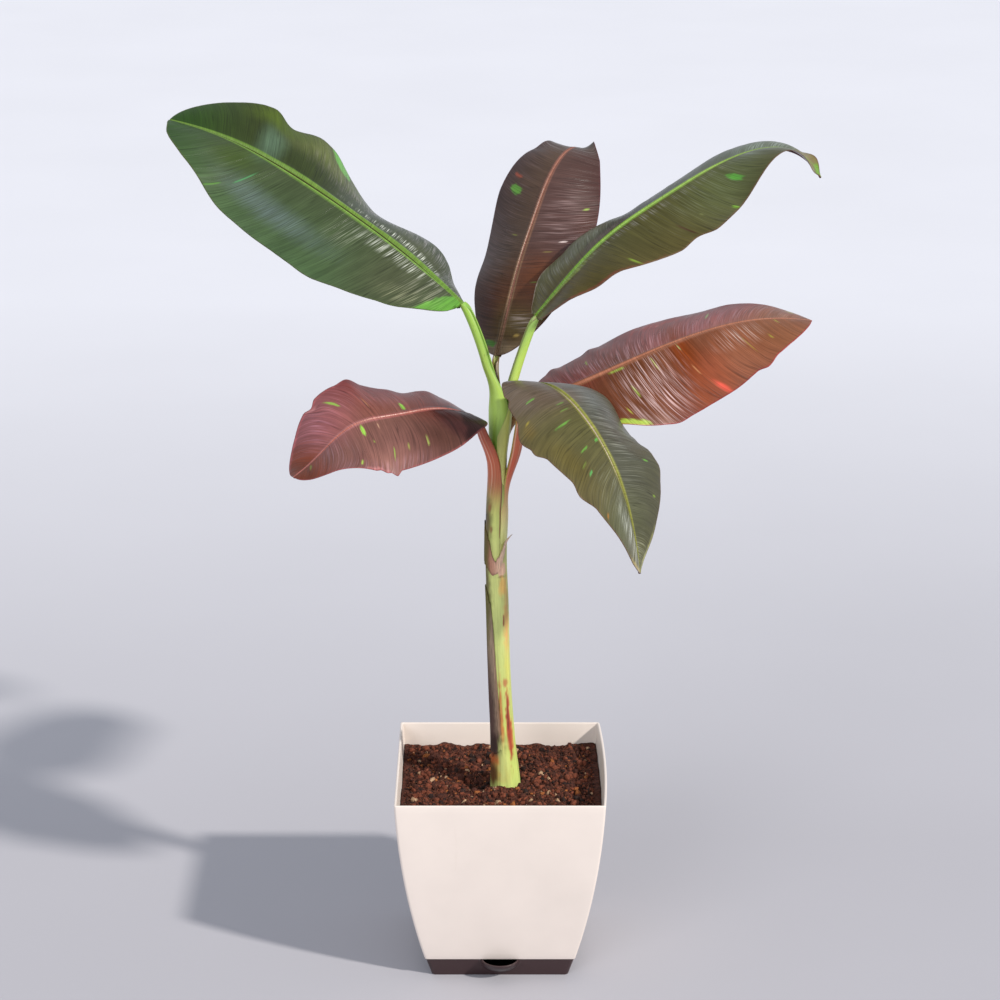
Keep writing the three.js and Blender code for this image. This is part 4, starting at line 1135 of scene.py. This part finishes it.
def make_tray(material):
    ob = vessel("saucer", tray_ring, low=0, high=TRAY["height"], wall=TRAY["wall"],
                floor=TRAY["wall"], foot_round=0.6, rim_round=0.8, steps=16)
    finish_piece(ob, "tray_plastic", material, node="drip_tray")


SOIL_STEPS = 150                    # points along each side of the soil's surface
SOIL_DEPTH = 40
HEAPS = [(-28, 8, 20, 15, -12), (10, -18, 30, 24, 6)]   # (middle x, y, half widths, rise) of its forms
CRUMBS, FIBRES = 6400, 620          # how many are strewn, with those that are then left out
CRUMB_SIZES, SIZE_SHARES = [0.9, 1.5, 2.4, 3.8], [0.34, 0.36, 0.21, 0.09]
KIND_SHARES = [0.42, 0.41, 0.11, 0.025, 0.035]      # of the crumbs' materials
HOLLOW_SHADE_KIND = 2
FIBRE_TAPER = np.array([0.5, 1, 1, 1, 1, 0.4])
BOTH = (-0.62, 0.62)                # either side of a crumb's middle
LUMP_POINTS = np.array([[x, y, z] for x in BOTH for y in BOTH for z in BOTH]
                       + [[1, 0, 0], [-1, 0, 0], [0, 1, 0], [0, -1, 0], [0, 0, 1], [0, 0, -1]])
LUMP_FACES = np.array([(8, 4, 6), (8, 6, 7), (8, 7, 5), (8, 5, 4), (9, 2, 0), (9, 3, 2), (9, 1, 3),
                       (9, 0, 1), (10, 6, 2), (10, 7, 6), (10, 3, 7), (10, 2, 3), (11, 0, 4),
                       (11, 1, 0), (11, 5, 1), (11, 4, 5), (12, 1, 5), (12, 3, 1), (12, 7, 3),
                       (12, 5, 7), (13, 4, 0), (13, 6, 4), (13, 2, 6), (13, 0, 2)])


def soil_height(x, y):
    """Height of the soil's surface: lumpy, sunk behind the trunk, heaped in front of it and a little
    higher towards the back."""
    lumps = 2.6 * value_noise(x / 23, y / 23, 41) + 1.6 * value_noise(x / 9, y / 9, 42)
    crumbs = 0.9 * value_noise(x / 3.4, y / 3.4, 43)
    level = SOIL_TOP + 0.8 + lumps + crumbs
    for at_x, at_y, wide, deep, rise in HEAPS:
        level = level + rise * np.exp(-(((x - at_x) / wide) ** 2 + ((y - at_y) / deep) ** 2))
    return level + 2.5 * ease(0, 110, y)


def make_soil(material):
    """The bed of soil, with a fine lumpy top that reaches the planter's bowed side."""
    half = pot_ring(SOIL_TOP, POT["wall"] + 0.5)[:, 1].max()
    side = np.linspace(-1, 1, SOIL_STEPS) * half
    x, y = np.meshgrid(side, side, indexing="ij")
    bow = POT["bow"] * ((SOIL_TOP - POT_FOOT) / (POT["height"] - POT_FOOT)) ** 2
    stretch = 1 + bow / half * (x > 0) * (1 - (y / half) ** 2)
    top = np.stack([x * stretch, y, soil_height(x, y)], -1)
    base = np.stack([x * 0.97, y * 0.97, np.full_like(x, SOIL_TOP - SOIL_DEPTH)], -1)
    finish_piece(slab("soil_bed", top, base, turned=True), "soil", material, node="soil")


def random_turn(rng):
    """A rotation matrix with no favoured direction."""
    w, x, y, z = unit(rng.normal(size=4))
    return np.array([[1 - 2 * (y * y + z * z), 2 * (x * y - z * w), 2 * (x * z + y * w)],
                     [2 * (x * y + z * w), 1 - 2 * (x * x + z * z), 2 * (y * z - x * w)],
                     [2 * (x * z - y * w), 2 * (y * z + x * w), 1 - 2 * (x * x + y * y)]])


def lump(rng, size):
    """A small irregular crumb: a cube's corners and face middles, pulled about."""
    points = LUMP_POINTS * size * rng.uniform(0.6, 1.25, (len(LUMP_POINTS), 1))
    return (points * rng.uniform(0.55, 1.5, 3)) @ random_turn(rng)


def scatter_reach(margin):
    """How far from the middle loose bits may lie."""
    return pot_ring(SOIL_TOP, POT["wall"])[:, 1].max() - margin


def make_crumbs(materials):
    """Crumbs of coir strewn over the bed, each in one of the soil's browns. In the hollow behind the
    trunk they are all of the darkest one, as painted shade."""
    rng = np.random.default_rng(51)
    reach = scatter_reach(3.5)
    stem_x = stem_centre(SOIL_TOP + 1.0)[0]
    points, faces, kinds = [], [], []
    for _ in range(CRUMBS):
        x, y = rng.uniform(-reach, reach, 2)
        size = rng.choice(CRUMB_SIZES, p=SIZE_SHARES)
        from_stem = math.hypot(x - stem_x, y)
        if from_stem < STEM["radius"][0] + size * 0.6 or max(abs(x), abs(y)) + size * 1.6 > reach:
            continue
        level = soil_height(x, y)
        seat = np.array([x, y, level + size * rng.uniform(-0.1, 0.5)])
        faces.append(LUMP_FACES + len(LUMP_POINTS) * len(points))
        points.append(lump(rng, size) + seat)
        kind = rng.choice(len(materials), p=KIND_SHARES)
        # crumbs low in the hollow take the darkest brown: painted shade
        kinds += [HOLLOW_SHADE_KIND if level < SOIL_TOP - 5 else kind] * len(LUMP_FACES)
    ob = mesh_object("soil_crumbs", np.vstack(points), np.vstack(faces))
    finish_piece(ob, "soil", *materials)
    ob.data.polygons.foreach_set("material_index", kinds)


def tube(points, radii, sides):
    """Rings of a thin limb through points."""
    along = unit(np.gradient(points, axis=0))
    right = unit(np.cross(along, Z_AXIS + (0.01, 0, 0)))
    up = np.cross(right, along)
    turn = np.linspace(0, 2 * np.pi, sides + 1)[:-1, None]
    ring = np.cos(turn) * right[:, None] + np.sin(turn) * up[:, None]
    return points[:, None] + radii[:, None, None] * ring


def make_fibres(material):
    """Loose coir fibres that lie and curl on the soil."""
    rng = np.random.default_rng(61)
    reach = scatter_reach(9)
    tubes = []
    for _ in range(FIBRES):
        x, y = rng.uniform(-reach, reach, 2)
        if math.hypot(x - 6, y) < STEM["radius"][0] + 4:            # too near the trunk
            continue
        heading, length = rng.uniform(0, 2 * np.pi), rng.uniform(4, 13)
        bend = rng.uniform(-1.2, 1.2)
        s = np.linspace(-0.5, 0.5, len(FIBRE_TAPER))
        px = np.clip(x + length * s * np.cos(heading + bend * s), -reach - 5, reach + 5)
        py = np.clip(y + length * s * np.sin(heading + bend * s), -reach - 5, reach + 5)
        rise = rng.uniform(0, 2.2) * (1 - (2 * s) ** 2) + rng.uniform(0.2, 1.2)
        line = np.stack([px, py, soil_height(px, py) + rise + 0.8], -1)
        tubes.append(tube(line, rng.uniform(0.10, 0.28) * FIBRE_TAPER, sides=4))
    finish_piece(loft("soil_fibres", tubes), "soil", material)


# ---------------------------------------------------------------- assembly

RED_BLADES = ("back", "right", "front_left")
RED_STALKS = ("front_left", "front_right")

leaf_skin = blade_material()
stalk_skin = skin_material("stalk_skin", 0.36)
for name, leaf in LEAVES.items():
    leaf["ripple"] = RIPPLES[name]
    blade_slot = "leaf_red" if name in RED_BLADES else "leaf_green"
    stalk_slot = "stalk_red" if name in RED_STALKS else "stalk_green"
    make_blade(name, leaf, TINTS[name], leaf_skin, blade_slot)
    make_stalk(name, leaf, SHEATHS[name], stalk_skin, stalk_slot)

make_stem(skin_material("trunk_skin", 0.46))
papery = dry_material()
for name, scrap in SCRAPS.items():
    make_scrap(name, scrap, papery)

make_pot(plastic_material("cream_plastic", 0xdacfc8, 0.4, 0xccbfb6))
make_tray(plastic_material("brown_plastic", 0x362426, 0.42, 0x524040))
make_soil(soil_material("coir_bed", 0x261109, 0x5c3328, 260))
make_crumbs([soil_material("coir_dark", 0x2b140e, 0x583126),
             soil_material("coir_red", 0x4a2418, 0x824834),
             soil_material("coir_black", 0x17100e, 0x352420),
             soil_material("coir_pale", 0x86664e, 0xc0a080),
             soil_material("coir_amber", 0x6c3618, 0xa8683a)])
make_fibres(soil_material("coir_fibre", 0x4c281a, 0x9c6a50))

# ---------------------------------------------------------------- floor, light and camera

bpy.ops.mesh.primitive_plane_add(size=60)
floor = bpy.context.object
floor.name = "floor"
floor.data.materials.append(floor_material())

world = bpy.data.worlds.new("studio")
world.use_nodes = True
sky = world.node_tree.nodes["Background"]
sky.inputs["Color"].default_value = (0.87, 0.92, 1, 1)
sky.inputs["Strength"].default_value = 0.66
bpy.context.scene.world = world

for name, energy, spread, tint, towards in (("sun", 3.6, 3.5, (1, 0.95, 0.87), (-0.67, 0.455, -0.59)),
                                            ("fill", 1.0, 30, (1, 1, 1), (0.45, 0.8, -0.4))):
    light = bpy.data.lights.new(name, "SUN")
    light.energy = energy
    light.angle = math.radians(spread)
    light.color = tint
    lamp = bpy.data.objects.new(name, light)
    lamp.rotation_euler = Vector(towards).to_track_quat("-Z", "Y").to_euler()
    bpy.context.scene.collection.objects.link(lamp)

camera_data = bpy.data.cameras.new("camera")
camera_data.lens = 106.9
camera_data.sensor_width = 36
camera = bpy.data.objects.new("camera", camera_data)
camera.location = (0, -3.3075, 1.724)
camera.rotation_euler = (math.radians(70.95), 0, 0)
bpy.context.scene.collection.objects.link(camera)
bpy.context.scene.camera = camera
bpy.context.scene.view_settings.view_transform = "Standard"
